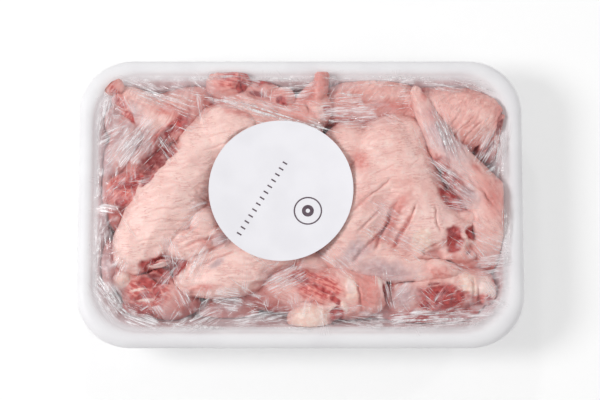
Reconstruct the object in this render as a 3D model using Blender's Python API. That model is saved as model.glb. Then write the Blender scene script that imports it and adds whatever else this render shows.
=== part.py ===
"""Supermarket tray of raw chicken wings: a foam tray, nine wings, a clear overwrap and a round label.

Metres, +Z up. The origin is the middle of the footprint, on the surface that the pack stands on.
Sizes below are in millimetres and become metres where a mesh is made.
"""

import math

import bmesh
import bpy
import numpy as np
from mathutils import Vector
from mathutils.bvhtree import BVHTree

MM = 0.001

# The foam tray.
TRAY_LENGTH = 225.0
TRAY_WIDTH = 148.0
RIM_CORNER = 27.0  # corner radius of the rim's outer edge, seen from above
CORNER_TAPER = 0.35  # how much the corner radius shrinks for each millimetre of inset
CORNER_STEPS = 6
# The tray's section, from its inner floor over the rim to its base: (inset from the rim's edge, height).
INNER_WALL = [(27.0, 4.8), (24.0, 5.5), (21.6, 8.0), (11.6, 25.4), (10.3, 28.0)]
RIM = [(8.2, 29.6), (5.5, 30.2), (2.8, 29.8), (0.8, 28.4), (0.0, 26.4), (0.6, 24.4), (2.2, 23.6)]
OUTER_WALL = [(4.8, 23.2), (6.6, 21.6), (16.8, 4.0), (18.4, 1.6), (21.5, 0.6)]

# The overwrap, pulled tight from the rim down to the base and tucked under it.
FILM_THICKNESS = 0.3  # the real film is thinner
FILM_SIDE = [(2.7, 30.25), (0.35, 28.8), (-0.4, 26.4), (0.05, 24.2), (9.0, 12.8), (17.9, 1.4), (20.0, 0.3)]
FILM_UNDER = [(34.0, 0.3), (50.0, 0.3)]
FILM_RIM_INSET = 5.5
FILM_RIM_HEIGHT = 30.6
FILM_RINGS = 11
FILM_FIRST_RING = 0.06  # size of the innermost ring, as a share of the rim's
FILM_LONG_STEPS = 7
FILM_SHORT_STEPS = 5
FILM_CLEARANCE = 0.5  # of the film over the wings
GAP = 0.35  # kept between neighbouring pieces
WING_GAP = 0.6

# The round paper label, which lies on the overwrap.
LABEL_RADIUS = 36.4
LABEL_CENTRE = (-9.8, 4.6)
LABEL_THICKNESS = 0.3
LABEL_LIFT = 0.6  # over the film's outer face, so that the disc clears the film's flat facets
LABEL_SIDES = 36
LABEL_RINGS = (0.35, 0.7, 1.0)  # as shares of the radius

# Each wing is a chain of joints (x, y, height, girth radius). The limbs run from joint to joint.
# The order is from the top of the heap down: a wing is pressed in by every wing above it.
WINGS = {
    "wing_left": [(-81, -24, 23, 15), (-67, -1, 24, 19.5), (-42, 40, 21, 13.5), (-8, -21, 25, 13), (-56, -38, 24, 10.5)],
    "wing_right": [(80, -16, 27, 9), (62, -9, 24, 16.5), (45, 27, 22, 20), (20, -24, 25, 12.5), (66, -36, 24, 8.5)],
    "wing_tip_right": [(58, 58, 31, 3.5), (73, 27, 31, 8), (97, -1, 25, 12), (93, -24, 17, 12)],
    "wing_back": [(-36, 58, 21, 10), (-18, 40, 19, 14), (10, 12, 21, 13), (-3, 42, 22, 9), (11, 64, 27, 4)],
    "wing_front": [(31, -46, 23, 12.5), (14, -44, 21, 14.5), (-24, -40, 15, 11), (-12, -12, 11, 9)],
    "wing_front_right": [(89, -41, 20, 9.5), (64, -45, 19, 14), (34, -48, 14, 10)],
    "wing_corner_left": [(-87, -4, 18, 12), (-74, 18, 20, 14.5), (-50, 57, 15, 12), (-76, 43, 24, 8), (-101, 61, 25, 3.5)],
    "wing_front_left": [(-66, -46, 17, 14), (-86, -33, 15, 13)],
    "wing_back_right": [(100, 31, 16, 11), (85, 43, 19, 18.5), (56, 50, 17, 13), (16, 51, 17, 12)],
}
LIMB_SIDES = 14
LIMB_STATIONS = 7
CAP_STATIONS = 3
MUSCLE = 0.06  # how far a limb swells between its joints, as a share of its girth
FLATNESS = 0.93  # height of a limb over its width
SKIN_WEB = 0.75  # how far along each limb the skin web of an elbow reaches
WEB_GIRTH = 0.5
BODY_VOXEL = 2.6
BODY_SMOOTHING = 7
WING_TRIANGLES = 400

GRID_STEP = 2.0  # of the height map that the overwrap is stretched over
STRETCH_STEPS = 700
LIFT_PASSES = 30
PROBE_HEIGHT = 100.0  # from which a height is measured downwards

TRAY_COLOUR = (0.86, 0.86, 0.88)
SKIN_COLOUR = (0.83, 0.50, 0.43)
FILM_COLOUR = (0.90, 0.90, 0.92)
LABEL_COLOUR = (0.88, 0.88, 0.90)


def clear_scene():
    for obj in list(bpy.data.objects):
        bpy.data.objects.remove(obj)


def make_material(name, colour, roughness, alpha=1.0):
    material = bpy.data.materials.new(name)
    material.use_nodes = True
    shader = material.node_tree.nodes["Principled BSDF"]
    shader.inputs["Base Color"].default_value = (*colour, 1.0)
    shader.inputs["Roughness"].default_value = roughness
    shader.inputs["Metallic"].default_value = 0.0
    shader.inputs["Alpha"].default_value = alpha
    return material


def add_object(name, mesh, material=None):
    obj = bpy.data.objects.new(name, mesh)
    bpy.context.scene.collection.objects.link(obj)
    if material:
        mesh.materials.clear()
        mesh.materials.append(material)
        mesh.shade_smooth()
    return obj


def evaluated_mesh(obj):
    """The object's mesh with its modifiers applied."""
    bpy.context.view_layer.update()
    graph = bpy.context.evaluated_depsgraph_get()
    return bpy.data.meshes.new_from_object(obj.evaluated_get(graph), depsgraph=graph)


def outline(inset, share=1.0, long_steps=1, short_steps=1):
    """The tray's rounded outline at an inset from the rim's edge, anticlockwise, as points in millimetres."""
    half_x = (TRAY_LENGTH / 2 - inset) * share
    half_y = (TRAY_WIDTH / 2 - inset) * share
    radius = (RIM_CORNER - CORNER_TAPER * inset) * share
    points = []
    for turn, steps in zip(range(4), (long_steps, short_steps, long_steps, short_steps)):
        centre_x = (half_x - radius) * (1 if turn in (0, 3) else -1)
        centre_y = (half_y - radius) * (1 if turn in (0, 1) else -1)
        arc = []
        for i in range(CORNER_STEPS + 1):
            angle = math.radians(90 * (turn + i / CORNER_STEPS))
            arc.append((centre_x + radius * math.cos(angle), centre_y + radius * math.sin(angle)))
        points += arc
        # The straight side after this corner, whose far end is the next corner's first point.
        length = 2 * ((half_x if turn in (0, 2) else half_y) - radius)
        side = (-math.sin(math.radians(90 * (turn + 1))), math.cos(math.radians(90 * (turn + 1))))
        for i in range(1, steps):
            points.append((arc[-1][0] + side[0] * length * i / steps, arc[-1][1] + side[1] * length * i / steps))
    return points


def loft(name, rings, cap_first=True, cap_last=True):
    """A mesh through rings of as many points each. Each ring is a list of (x, y, z) in millimetres."""
    bm = bmesh.new()
    rows = [[bm.verts.new(Vector(point) * MM) for point in ring] for ring in rings]
    count = len(rows[0])
    for lower, upper in zip(rows, rows[1:]):
        for i in range(count):
            j = (i + 1) % count
            bm.faces.new((lower[i], lower[j], upper[j], upper[i]))
    if cap_first:
        bm.faces.new(reversed(rows[0]))
    if cap_last:
        bm.faces.new(rows[-1])
    mesh = bpy.data.meshes.new(name)
    bm.to_mesh(mesh)
    bm.free()
    return mesh


def section_rings(section, long_steps=1, short_steps=1):
    return [[(x, y, z) for x, y in outline(inset, 1.0, long_steps, short_steps)] for inset, z in section]


def faced_outwards(mesh):
    bm = bmesh.new()
    bm.from_mesh(mesh)
    bmesh.ops.recalc_face_normals(bm, faces=bm.faces)
    bm.to_mesh(mesh)
    bm.free()
    return mesh


def make_tray(material):
    mesh = faced_outwards(loft("tray", section_rings(INNER_WALL + RIM + OUTER_WALL)))
    tray = add_object("tray", mesh, material)
    mesh.set_sharp_from_angle(angle=math.radians(50))
    return tray


def make_hollow():
    """The room inside the tray, GAP clear of its wall, with no lid. The wings are kept to it."""
    section = [(inset + GAP, z + GAP) for inset, z in INNER_WALL]
    section.append((INNER_WALL[-1][0] + GAP, 2 * FILM_RIM_HEIGHT))
    return faced_outwards(loft("hollow", section_rings(section)))


def add_limb(bm, start, end):
    """A closed, round-ended tube from joint to joint, whose girth follows both joints and swells between them."""
    a, b = Vector(start[:3]), Vector(end[:3])
    along = (b - a).normalized()
    sideways = along.cross(Vector((0, 0, 1))).normalized()
    upwards = sideways.cross(along)
    stations = []
    for i in range(CAP_STATIONS):
        angle = math.pi / 2 * (i + 0.4) / CAP_STATIONS
        stations.append((a - along * start[3] * math.cos(angle), start[3] * math.sin(angle)))
    for i in range(LIMB_STATIONS + 1):
        t = i / LIMB_STATIONS
        girth = start[3] + (end[3] - start[3]) * t
        stations.append((a.lerp(b, t), girth * (1 + MUSCLE * math.sin(math.pi * t))))
    for i in reversed(range(CAP_STATIONS)):
        angle = math.pi / 2 * (i + 0.4) / CAP_STATIONS
        stations.append((b + along * end[3] * math.cos(angle), end[3] * math.sin(angle)))
    rows = []
    for centre, girth in stations:
        row = []
        for i in range(LIMB_SIDES):
            angle = 2 * math.pi * i / LIMB_SIDES
            offset = sideways * math.cos(angle) + upwards * FLATNESS * math.sin(angle)
            row.append(bm.verts.new((centre + offset * girth) * MM))
        rows.append(row)
    for lower, upper in zip(rows, rows[1:]):
        for i in range(LIMB_SIDES):
            j = (i + 1) % LIMB_SIDES
            bm.faces.new((lower[i], lower[j], upper[j], upper[i]))
    bm.faces.new(reversed(rows[0]))
    bm.faces.new(rows[-1])


def web_mesh(before, elbow, after):
    """The skin that spans an elbow: a hull round a ball at the elbow and one part of the way along each limb."""
    bm = bmesh.new()
    for joint in (before, elbow, after):
        share = 0.0 if joint is elbow else SKIN_WEB
        centre = Vector(elbow[:3]).lerp(Vector(joint[:3]), share)
        radius = (elbow[3] + (joint[3] - elbow[3]) * share) * WEB_GIRTH
        for i in range(6):
            tilt = math.radians(-75 + 30 * i)
            for k in range(12):
                turn = math.radians(30 * k)
                point = Vector((math.cos(turn) * math.cos(tilt), math.sin(turn) * math.cos(tilt), math.sin(tilt)))
                bm.verts.new((centre + point * radius) * MM)
    made = bmesh.ops.convex_hull(bm, input=bm.verts)
    bmesh.ops.delete(bm, geom=made["geom_interior"], context="VERTS")
    mesh = bpy.data.meshes.new("web")
    bm.to_mesh(mesh)
    bm.free()
    return mesh


def wing_body(name, joints):
    """The wing's own shape before its neighbours press into it."""
    bm = bmesh.new()
    for start, end in zip(joints, joints[1:]):
        add_limb(bm, start, end)
    for before, elbow, after in zip(joints, joints[1:], joints[2:]):
        bm.from_mesh(web_mesh(before, elbow, after))
    bmesh.ops.recalc_face_normals(bm, faces=bm.faces)
    mesh = bpy.data.meshes.new(name)
    bm.to_mesh(mesh)
    bm.free()
    limbs = add_object(name + "_limbs", mesh)
    remesh = limbs.modifiers.new("one skin", "REMESH")
    remesh.mode = "VOXEL"
    remesh.voxel_size = BODY_VOXEL * MM
    smooth = limbs.modifiers.new("flesh", "SMOOTH")
    smooth.factor = 0.5
    smooth.iterations = BODY_SMOOTHING
    dense = evaluated_mesh(limbs)
    decimate = limbs.modifiers.new("facets", "DECIMATE")
    decimate.ratio = WING_TRIANGLES / (2 * len(dense.polygons))
    body = evaluated_mesh(limbs)
    bpy.data.objects.remove(limbs)
    return body


def swollen(mesh, distance):
    """A copy of a mesh whose surface is pushed out by a distance in millimetres."""
    copy = mesh.copy()
    normals = [vert.normal.copy() for vert in copy.vertices]
    for vert, normal in zip(copy.vertices, normals):
        vert.co += normal * distance * MM
    return copy


def after_boolean(mesh, cutter_mesh, operation):
    """The mesh after an exact Boolean with a second one."""
    target = add_object("boolean_target", mesh)
    cutter = add_object("boolean_cutter", cutter_mesh)
    boolean = target.modifiers.new(operation.lower(), "BOOLEAN")
    boolean.operation = operation
    boolean.solver = "EXACT"
    boolean.object = cutter
    result = evaluated_mesh(target)
    bpy.data.objects.remove(target)
    bpy.data.objects.remove(cutter)
    return result


def largest_piece(mesh):
    """The mesh without the loose crumbs that a cut can leave."""
    bm = bmesh.new()
    bm.from_mesh(mesh)
    bmesh.ops.remove_doubles(bm, verts=bm.verts, dist=0.02 * MM)
    left = set(bm.verts)
    pieces = []
    while left:
        piece, todo = set(), [next(iter(left))]
        while todo:
            vert = todo.pop()
            if vert in piece:
                continue
            piece.add(vert)
            todo += [edge.other_vert(vert) for edge in vert.link_edges]
        left -= piece
        pieces.append(piece)
    pieces.sort(key=len)
    for piece in pieces[:-1]:
        bmesh.ops.delete(bm, geom=list(piece), context="VERTS")
    bmesh.ops.triangulate(bm, faces=bm.faces)
    bm.to_mesh(mesh)
    bm.free()
    return mesh


def make_wings(material):
    hollow = make_hollow()
    above = []
    wings = []
    for name, joints in WINGS.items():
        body = wing_body(name, joints)
        mesh = after_boolean(body.copy(), hollow.copy(), "INTERSECT")
        for other in above:
            mesh = after_boolean(mesh, swollen(other, WING_GAP), "DIFFERENCE")
        mesh = largest_piece(mesh)
        mesh.name = name
        above.append(body)
        wings.append(add_object(name, mesh, material))
    return wings


def height_grid():
    """Axes of the height map, in millimetres."""
    half_x, half_y = TRAY_LENGTH / 2 - FILM_RIM_INSET, TRAY_WIDTH / 2 - FILM_RIM_INSET
    xs = np.linspace(-half_x, half_x, int(2 * half_x / GRID_STEP) + 1)
    ys = np.linspace(-half_y, half_y, int(2 * half_y / GRID_STEP) + 1)
    return xs, ys


def is_inside(x, y, inset):
    """True where a point lies inside the tray's outline at this inset."""
    half_x, half_y = TRAY_LENGTH / 2 - inset, TRAY_WIDTH / 2 - inset
    radius = RIM_CORNER - CORNER_TAPER * inset
    past_x, past_y = max(abs(x) - half_x + radius, 0.0), max(abs(y) - half_y + radius, 0.0)
    return math.hypot(past_x, past_y) < radius


def heights_of(objects, xs, ys):
    """The top of these objects over each point of the grid, and the rim's height outside it."""
    trees = []
    for obj in objects:
        points = [vert.co.copy() for vert in obj.data.vertices]
        trees.append(BVHTree.FromPolygons(points, [tuple(face.vertices) for face in obj.data.polygons]))
    down = Vector((0, 0, -1))
    heights = np.zeros((len(ys), len(xs)))
    for j, y in enumerate(ys):
        for i, x in enumerate(xs):
            start = Vector((x, y, PROBE_HEIGHT)) * MM
            hits = [tree.ray_cast(start, down)[0] for tree in trees]
            tops = [hit.z / MM for hit in hits if hit]
            heights[j, i] = max(tops) if tops else 0.0
    return heights


def stretched(obstacle, held):
    """A skin pulled tight over the obstacle, on which it lies wherever it is held: it spans the hollows elsewhere."""
    skin = np.maximum(obstacle, FILM_RIM_HEIGHT)
    for _ in range(STRETCH_STEPS):
        mean = skin.copy()
        mean[1:-1, 1:-1] = (skin[:-2, 1:-1] + skin[2:, 1:-1] + skin[1:-1, :-2] + skin[1:-1, 2:]) / 4
        skin = np.where(held, obstacle, np.maximum(mean, obstacle))
    return skin


def label_plate(skin, xs, ys):
    """Coefficients of the gently curved surface that the label takes: the best fit to the skin, raised clear of it."""
    rows, tops = [], []
    for j, y in enumerate(ys):
        for i, x in enumerate(xs):
            if math.hypot(x - LABEL_CENTRE[0], y - LABEL_CENTRE[1]) < LABEL_RADIUS + GRID_STEP:
                rows.append((1, x, y, x * x, x * y, y * y))
                tops.append(skin[j, i])
    rows, tops = np.array(rows), np.array(tops)
    fit = np.linalg.lstsq(rows, tops, rcond=None)[0]
    fit[0] += (tops - rows @ fit).max()
    return fit


def plate_height(fit, x, y):
    return float(np.dot(fit, (1, x, y, x * x, x * y, y * y)))


def sampled(heights, xs, ys, x, y):
    """The height map at a point, by linear interpolation."""
    u = min(max((x - xs[0]) / (xs[1] - xs[0]), 0.0), len(xs) - 1.001)
    v = min(max((y - ys[0]) / (ys[1] - ys[0]), 0.0), len(ys) - 1.001)
    i, j = int(u), int(v)
    s, t = u - i, v - j
    low = heights[j, i] * (1 - s) + heights[j, i + 1] * s
    high = heights[j + 1, i] * (1 - s) + heights[j + 1, i + 1] * s
    return float(low * (1 - t) + high * t)


def face_up(mesh):
    """Turn an open sheet's faces the same way, with its highest face looking up, and split them into triangles."""
    bm = bmesh.new()
    bm.from_mesh(mesh)
    bmesh.ops.recalc_face_normals(bm, faces=bm.faces)
    bm.normal_update()
    if max(bm.faces, key=lambda face: face.calc_center_median().z).normal.z < 0:
        bmesh.ops.reverse_faces(bm, faces=bm.faces)
    bmesh.ops.triangulate(bm, faces=bm.faces)
    bm.to_mesh(mesh)
    bm.free()


def lift_clear(mesh, wings, free_verts):
    """Raise the film's facets until every point of the wings is clear of them. Only the first verts may move."""
    points = [vert.co for wing in wings for vert in wing.data.vertices]
    faces = [tuple(face.vertices) for face in mesh.polygons]
    for _ in range(LIFT_PASSES):
        tree = BVHTree.FromPolygons([vert.co.copy() for vert in mesh.vertices], faces)
        lifts = {}
        for point in points:
            start = Vector((point.x, point.y, PROBE_HEIGHT * MM))
            hit, _normal, face, _distance = tree.ray_cast(start, Vector((0, 0, -1)))
            if not hit:
                continue
            short = FILM_CLEARANCE * MM - (hit.z - point.z)
            if short > 0.01 * MM:
                for index in faces[face]:
                    if index < free_verts:
                        lifts[index] = max(lifts.get(index, 0.0), short)
        for index, lift in lifts.items():
            mesh.vertices[index].co.z += lift
        if not lifts:
            break


def make_film(wings, material):
    """The overwrap, and the plate that the label lies on."""
    xs, ys = height_grid()
    rim = np.array([[not is_inside(x, y, FILM_RIM_INSET + GRID_STEP) for x in xs] for y in ys])
    tops = np.where(rim, FILM_RIM_HEIGHT, heights_of(wings, xs, ys) + FILM_CLEARANCE)
    loose = stretched(tops, rim)
    fit = label_plate(loose, xs, ys)
    # The stiff label holds the film to its own surface.
    held = rim.copy()
    for j, y in enumerate(ys):
        for i, x in enumerate(xs):
            if math.hypot(x - LABEL_CENTRE[0], y - LABEL_CENTRE[1]) < LABEL_RADIUS + 2 * GRID_STEP:
                tops[j, i] = plate_height(fit, x, y)
                held[j, i] = True
    skin = stretched(tops, held)
    rings = []
    for k in range(FILM_RINGS):
        share = FILM_FIRST_RING + (1 - FILM_FIRST_RING) * k / (FILM_RINGS - 1)
        ring = outline(FILM_RIM_INSET, share, FILM_LONG_STEPS, FILM_SHORT_STEPS)
        last = k == FILM_RINGS - 1
        rings.append([(x, y, FILM_RIM_HEIGHT if last else sampled(skin, xs, ys, x, y)) for x, y in ring])
    rings += section_rings(FILM_SIDE + FILM_UNDER, FILM_LONG_STEPS, FILM_SHORT_STEPS)
    mesh = loft("film", rings, cap_first=True, cap_last=False)
    face_up(mesh)
    lift_clear(mesh, wings, (FILM_RINGS - 1) * len(rings[0]))
    film = add_object("film", mesh, material)
    thickness = film.modifiers.new("thickness", "SOLIDIFY")
    thickness.thickness = FILM_THICKNESS * MM
    thickness.offset = 1.0
    return film, fit


def make_label(fit, material):
    """A thin disc that follows the plate, just above the film."""
    rings = []
    for share in LABEL_RINGS:
        ring = []
        for i in range(LABEL_SIDES):
            angle = 2 * math.pi * i / LABEL_SIDES
            x = LABEL_CENTRE[0] + LABEL_RADIUS * share * math.cos(angle)
            y = LABEL_CENTRE[1] + LABEL_RADIUS * share * math.sin(angle)
            ring.append((x, y, plate_height(fit, x, y) + FILM_THICKNESS + LABEL_LIFT))
        rings.append(ring)
    mesh = loft("label", rings, cap_first=True, cap_last=False)
    face_up(mesh)
    label = add_object("label", mesh, material)
    thickness = label.modifiers.new("thickness", "SOLIDIFY")
    thickness.thickness = LABEL_THICKNESS * MM
    thickness.offset = 1.0
    return label


def main():
    clear_scene()
    make_tray(make_material("foam", TRAY_COLOUR, 0.55))
    wings = make_wings(make_material("chicken", SKIN_COLOUR, 0.4))
    film, fit = make_film(wings, make_material("film", FILM_COLOUR, 0.15, 0.3))
    make_label(fit, make_material("label", LABEL_COLOUR, 0.5))


main()
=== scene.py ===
import math

import bmesh
import bpy
import numpy as np
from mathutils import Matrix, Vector
from mathutils.bvhtree import BVHTree


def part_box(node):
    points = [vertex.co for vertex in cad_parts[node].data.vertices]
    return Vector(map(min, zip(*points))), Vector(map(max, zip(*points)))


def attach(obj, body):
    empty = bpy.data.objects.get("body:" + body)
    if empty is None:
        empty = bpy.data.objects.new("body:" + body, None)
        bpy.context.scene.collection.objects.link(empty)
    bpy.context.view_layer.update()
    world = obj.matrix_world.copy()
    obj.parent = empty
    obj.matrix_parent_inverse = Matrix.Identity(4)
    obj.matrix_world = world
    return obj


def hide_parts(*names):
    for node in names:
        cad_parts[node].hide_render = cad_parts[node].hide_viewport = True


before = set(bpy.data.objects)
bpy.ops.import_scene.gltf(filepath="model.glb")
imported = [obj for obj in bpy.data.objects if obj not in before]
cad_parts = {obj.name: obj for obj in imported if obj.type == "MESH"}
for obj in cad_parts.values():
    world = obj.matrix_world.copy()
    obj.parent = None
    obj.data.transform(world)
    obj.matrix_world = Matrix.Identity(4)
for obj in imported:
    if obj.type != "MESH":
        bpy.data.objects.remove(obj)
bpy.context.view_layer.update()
mm = 0.001


class Wire:   # a socket, so that sums of sockets are written as plain sums
    def __init__(self, maker, socket):
        self.maker = maker
        self.socket = socket

    def calc(self, how, other=None, swap=False):
        isVector = self.socket.type in ("VECTOR", "RGBA")
        kind = "ShaderNodeVectorMath" if isVector else "ShaderNodeMath"
        values = {0: other, 1: self} if swap else {0: self, 1: other}
        if other is None:
            values = {0: self}
        return self.maker.node(kind, {"operation": how}, values)

    def __add__(self, other):
        return self.calc("ADD", other)

    def __radd__(self, other):
        return self.calc("ADD", other)

    def __sub__(self, other):
        return self.calc("SUBTRACT", other)

    def __rsub__(self, other):
        return self.calc("SUBTRACT", other, swap=True)

    def __mul__(self, other):
        return self.calc("MULTIPLY", other)

    def __rmul__(self, other):
        return self.calc("MULTIPLY", other)

    def size(self):
        return self.calc("ABSOLUTE")

    def most(self, other):
        return self.calc("MAXIMUM", other)

    def rise(self, low, high):   # 0 below low, 1 above high, smooth between
        return self.maker.node("ShaderNodeMapRange", {"interpolation_type": "SMOOTHSTEP"},
                               {"Value": self, 1: low, 2: high, 3: 0.0, 4: 1.0})


class Maker:
    def __init__(self, tree):
        self.tree = tree

    def node(self, kind, settings=None, values=None, out=0):
        made = self.tree.nodes.new(kind)
        for name, value in (settings or {}).items():
            setattr(made, name, value)
        for name, value in (values or {}).items():
            self.plug(made.inputs[name], value)
        return Wire(self, made.outputs[out])

    def plug(self, socket, value):
        if isinstance(value, Wire):
            self.tree.links.new(value.socket, socket)
        elif socket.type == "VECTOR" and isinstance(value, (int, float)):
            socket.default_value = (value, value, value)
        elif socket.type == "RGBA" and len(value) == 3:
            socket.default_value = (*value, 1.0)
        else:
            socket.default_value = value

    def mix(self, first, second, share):
        return self.node("ShaderNodeMix", {"data_type": "RGBA"}, {0: share, 6: first, 7: second}, out=2)

    def noise(self, place, size, detail=2.0, roughness=0.5):   # size of a lump in metres
        return self.node("ShaderNodeTexNoise", None,
                         {"Vector": place, "Scale": 1 / size, "Detail": detail, "Roughness": roughness})

    def bump(self, height, strength, distance):
        return self.node("ShaderNodeBump", None,
                         {"Height": height, "Strength": strength, "Distance": distance})

    def field(self, name):
        return self.node("ShaderNodeAttribute", {"attribute_name": name}, None, out=2)


def newMaterial(name):
    material = bpy.data.materials.new(name)
    material.use_nodes = True
    maker = Maker(material.node_tree)
    shader = material.node_tree.nodes["Principled BSDF"]
    return material, maker, shader


def setShader(maker, shader, values):
    for name, value in values.items():
        maker.plug(shader.inputs[name], value)


def newTree(name, inputs):   # a Geometry Nodes tree with these named inputs
    tree = bpy.data.node_groups.new(name, "GeometryNodeTree")
    face = tree.interface
    face.new_socket("Geometry", in_out="INPUT", socket_type="NodeSocketGeometry")
    for label, (kind, value) in inputs.items():
        socket = face.new_socket(label, in_out="INPUT", socket_type="NodeSocket" + kind)
        if value is not None:
            socket.default_value = value
    face.new_socket("Geometry", in_out="OUTPUT", socket_type="NodeSocketGeometry")
    maker = Maker(tree)
    start = tree.nodes.new("NodeGroupInput")
    given = {socket.name: Wire(maker, socket) for socket in start.outputs if socket.name}
    return tree, maker, given


def endTree(maker, geometry, material):
    real = maker.node("GeometryNodeRealizeInstances", None, {0: geometry})
    dressed = maker.node("GeometryNodeSetMaterial", None, {"Geometry": real, "Material": material})
    end = maker.tree.nodes.new("NodeGroupOutput")
    maker.plug(end.inputs[0], dressed)


def grow(obj, tree, values):   # run a tree on an object and keep the result as its plain mesh
    modifier = obj.modifiers.new(tree.name, "NODES")
    modifier.node_group = tree
    for item in tree.interface.items_tree:
        if item.item_type == "SOCKET" and item.in_out == "INPUT" and item.name in values:
            modifier[item.identifier] = values[item.name]
    settle(obj)


def settle(obj):   # apply every modifier
    bpy.context.view_layer.update()
    graph = bpy.context.evaluated_depsgraph_get()
    plain = bpy.data.meshes.new_from_object(obj.evaluated_get(graph), depsgraph=graph)
    obj.modifiers.clear()
    obj.data = plain


def addPiece(name, points, faces, edges=()):
    mesh = bpy.data.meshes.new(name)
    mesh.from_pydata([tuple(point) for point in points], list(edges), [tuple(face) for face in faces])
    piece = bpy.data.objects.new(name, mesh)
    bpy.context.scene.collection.objects.link(piece)
    return piece


def pointsOf(mesh):
    flat = np.empty(3 * len(mesh.vertices))
    mesh.vertices.foreach_get("co", flat)
    return flat.reshape(-1, 3)


def normalsOf(mesh):
    flat = np.empty(3 * len(mesh.vertices), dtype=np.float32)
    mesh.vertex_normals.foreach_get("vector", flat)
    return flat.reshape(-1, 3).astype(float)


def movePoints(mesh, points):
    mesh.vertices.foreach_set("co", points.ravel())
    mesh.update()


def addField(mesh, name, values):
    field = mesh.attributes.new(name, "FLOAT", "POINT")
    field.data.foreach_set("value", np.asarray(values, dtype=np.float32))


def handOver(piece, slot, *nodes):
    piece.data.shade_smooth()
    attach(piece, "root")
    if nodes:
        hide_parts(*nodes)


def smooth(value, low, high):
    share = np.clip((value - low) / (high - low), 0, 1)
    return share * share * (3 - 2 * share)


def lumpy(points, size, seed):   # smooth noise from -1 to 1, with lumps about as wide as size
    cell = points / size + 7.31 * seed
    low = np.floor(cell).astype(np.int64)
    part = cell - low
    part = part * part * (3 - 2 * part)
    total = np.zeros(len(points))
    for corner in range(8):
        step = np.array([corner & 1, corner >> 1 & 1, corner >> 2 & 1])
        spot = low + step
        code = spot[:, 0] * 73856093 ^ spot[:, 1] * 19349663 ^ spot[:, 2] * 83492791 ^ seed * 2654435
        code = ((code ^ (code >> 13)) * 1274126177) & 0x7fffffff
        code = ((code ^ (code >> 15)) * 668265263) & 0x7fffffff
        weight = np.prod(np.where(step, part, 1 - part), axis=1)
        total += weight * (code / 0x3fffffff - 1)
    return total


# The tray's outline, in mm, is shared by the tray, its hollow and the film.
trayLow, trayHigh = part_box("tray")
tray = {
    "halfLength": (trayHigh.x - trayLow.x) / 2 / mm,
    "halfWidth": (trayHigh.y - trayLow.y) / 2 / mm,
    "top": trayHigh.z / mm,
    "base": trayLow.z / mm,
    "corner": 27.0,         # radius of the rim's corner, seen from above
    "cornerTaper": 0.35,    # how much less of it there is for each millimetre further in
    "rimWidth": 8.2,
    "cornerSteps": 14,
}


def outlineParts(x, y, inset):   # the nearest point of the straight core, the way outwards, and the distance
    halfX, halfY = tray["halfLength"] - inset, tray["halfWidth"] - inset
    radius = tray["corner"] - tray["cornerTaper"] * inset
    coreX = np.clip(x, radius - halfX, halfX - radius)
    coreY = np.clip(y, radius - halfY, halfY - radius)
    offX, offY = x - coreX, y - coreY
    reach = np.hypot(offX, offY)
    # Inside the core, the nearest side counts.
    gapX, gapY = halfX - np.abs(x), halfY - np.abs(y)
    inside = reach < 1e-6
    distance = np.where(inside, -np.minimum(gapX, gapY), reach - radius)
    safe = np.maximum(reach, 1e-6)
    return coreX, coreY, offX / safe, offY / safe, distance


def ringAt(inset, z, steps):
    halfX, halfY = tray["halfLength"] - inset, tray["halfWidth"] - inset
    radius = tray["corner"] - tray["cornerTaper"] * inset
    ring = []
    for turn, (signX, signY) in enumerate(((1, 1), (-1, 1), (-1, -1), (1, -1))):
        for i in range(steps + 1):
            angle = math.radians(90 * (turn + i / steps))
            ring.append((signX * (halfX - radius) + radius * math.cos(angle),
                         signY * (halfY - radius) + radius * math.sin(angle), z))
    return np.array(ring)


def loftRings(name, rings):   # a closed shell through rings, from the inside floor to the base
    count = len(rings[0])
    points = np.concatenate(rings) * mm
    faces = []
    for row in range(len(rings) - 1):
        for i in range(count):
            j = (i + 1) % count
            faces.append((row * count + i, row * count + j, (row + 1) * count + j, (row + 1) * count + i))
    faces.append(tuple(reversed(range(count))))
    faces.append(tuple((len(rings) - 1) * count + i for i in range(count)))
    piece = addPiece(name, points, faces)
    bm = bmesh.new()
    bm.from_mesh(piece.data)
    bmesh.ops.recalc_face_normals(bm, faces=bm.faces)
    bm.to_mesh(piece.data)
    bm.free()
    return piece


# The tray's section, as insets and heights in mm: inside from the floor up, outside from the lip down.
innerWall = [
    (27.0, 4.8), (24.2, 5.4), (22.6, 6.4), (21.4, 8.3),
    (16.5, 17.0), (11.8, 25.2), (10.9, 26.9), (10.0, 28.3)]
outerWall = [
    (4.0, 22.9), (6.8, 21.4), (12.0, 12.6), (16.8, 4.3),
    (18.0, 2.0), (20.2, 0.8), (23.5, tray["base"])]
lip = {"halfWidth": 4.5, "halfHeight": 3.9, "start": 150.0, "step": 17.5, "steps": 13}


def makeFoam():
    material, maker, shader = newMaterial("foam")
    place = maker.node("ShaderNodeTexCoord", None, None, out=3)
    beads = maker.node("ShaderNodeTexVoronoi", None, {"Vector": place, "Scale": 1 / (1.6 * mm)})
    cloud = maker.noise(place, 22 * mm)
    relief = beads * 0.25 + maker.noise(place, 0.9 * mm)
    clean = maker.mix((0.84, 0.835, 0.85), (0.80, 0.79, 0.81), cloud.rise(0.35, 0.7))
    # Painted shade: the inside of the tray is darkened to a pinkish brown towards the floor, partly a real
    # stain of meat juices.
    juiceShadeColour = maker.mix((0.76, 0.62, 0.63), (0.50, 0.29, 0.29), maker.noise(place, 13 * mm).rise(0.38, 0.62))
    setShader(maker, shader, {
        "Base Color": maker.mix(clean, juiceShadeColour, maker.field("wet")),
        "Roughness": 0.42 + maker.noise(place, 5 * mm) * 0.16,
        "Specular IOR Level": 0.4,
        "Normal": maker.bump(relief, 0.12, 0.4 * mm),
    })
    return material


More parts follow.
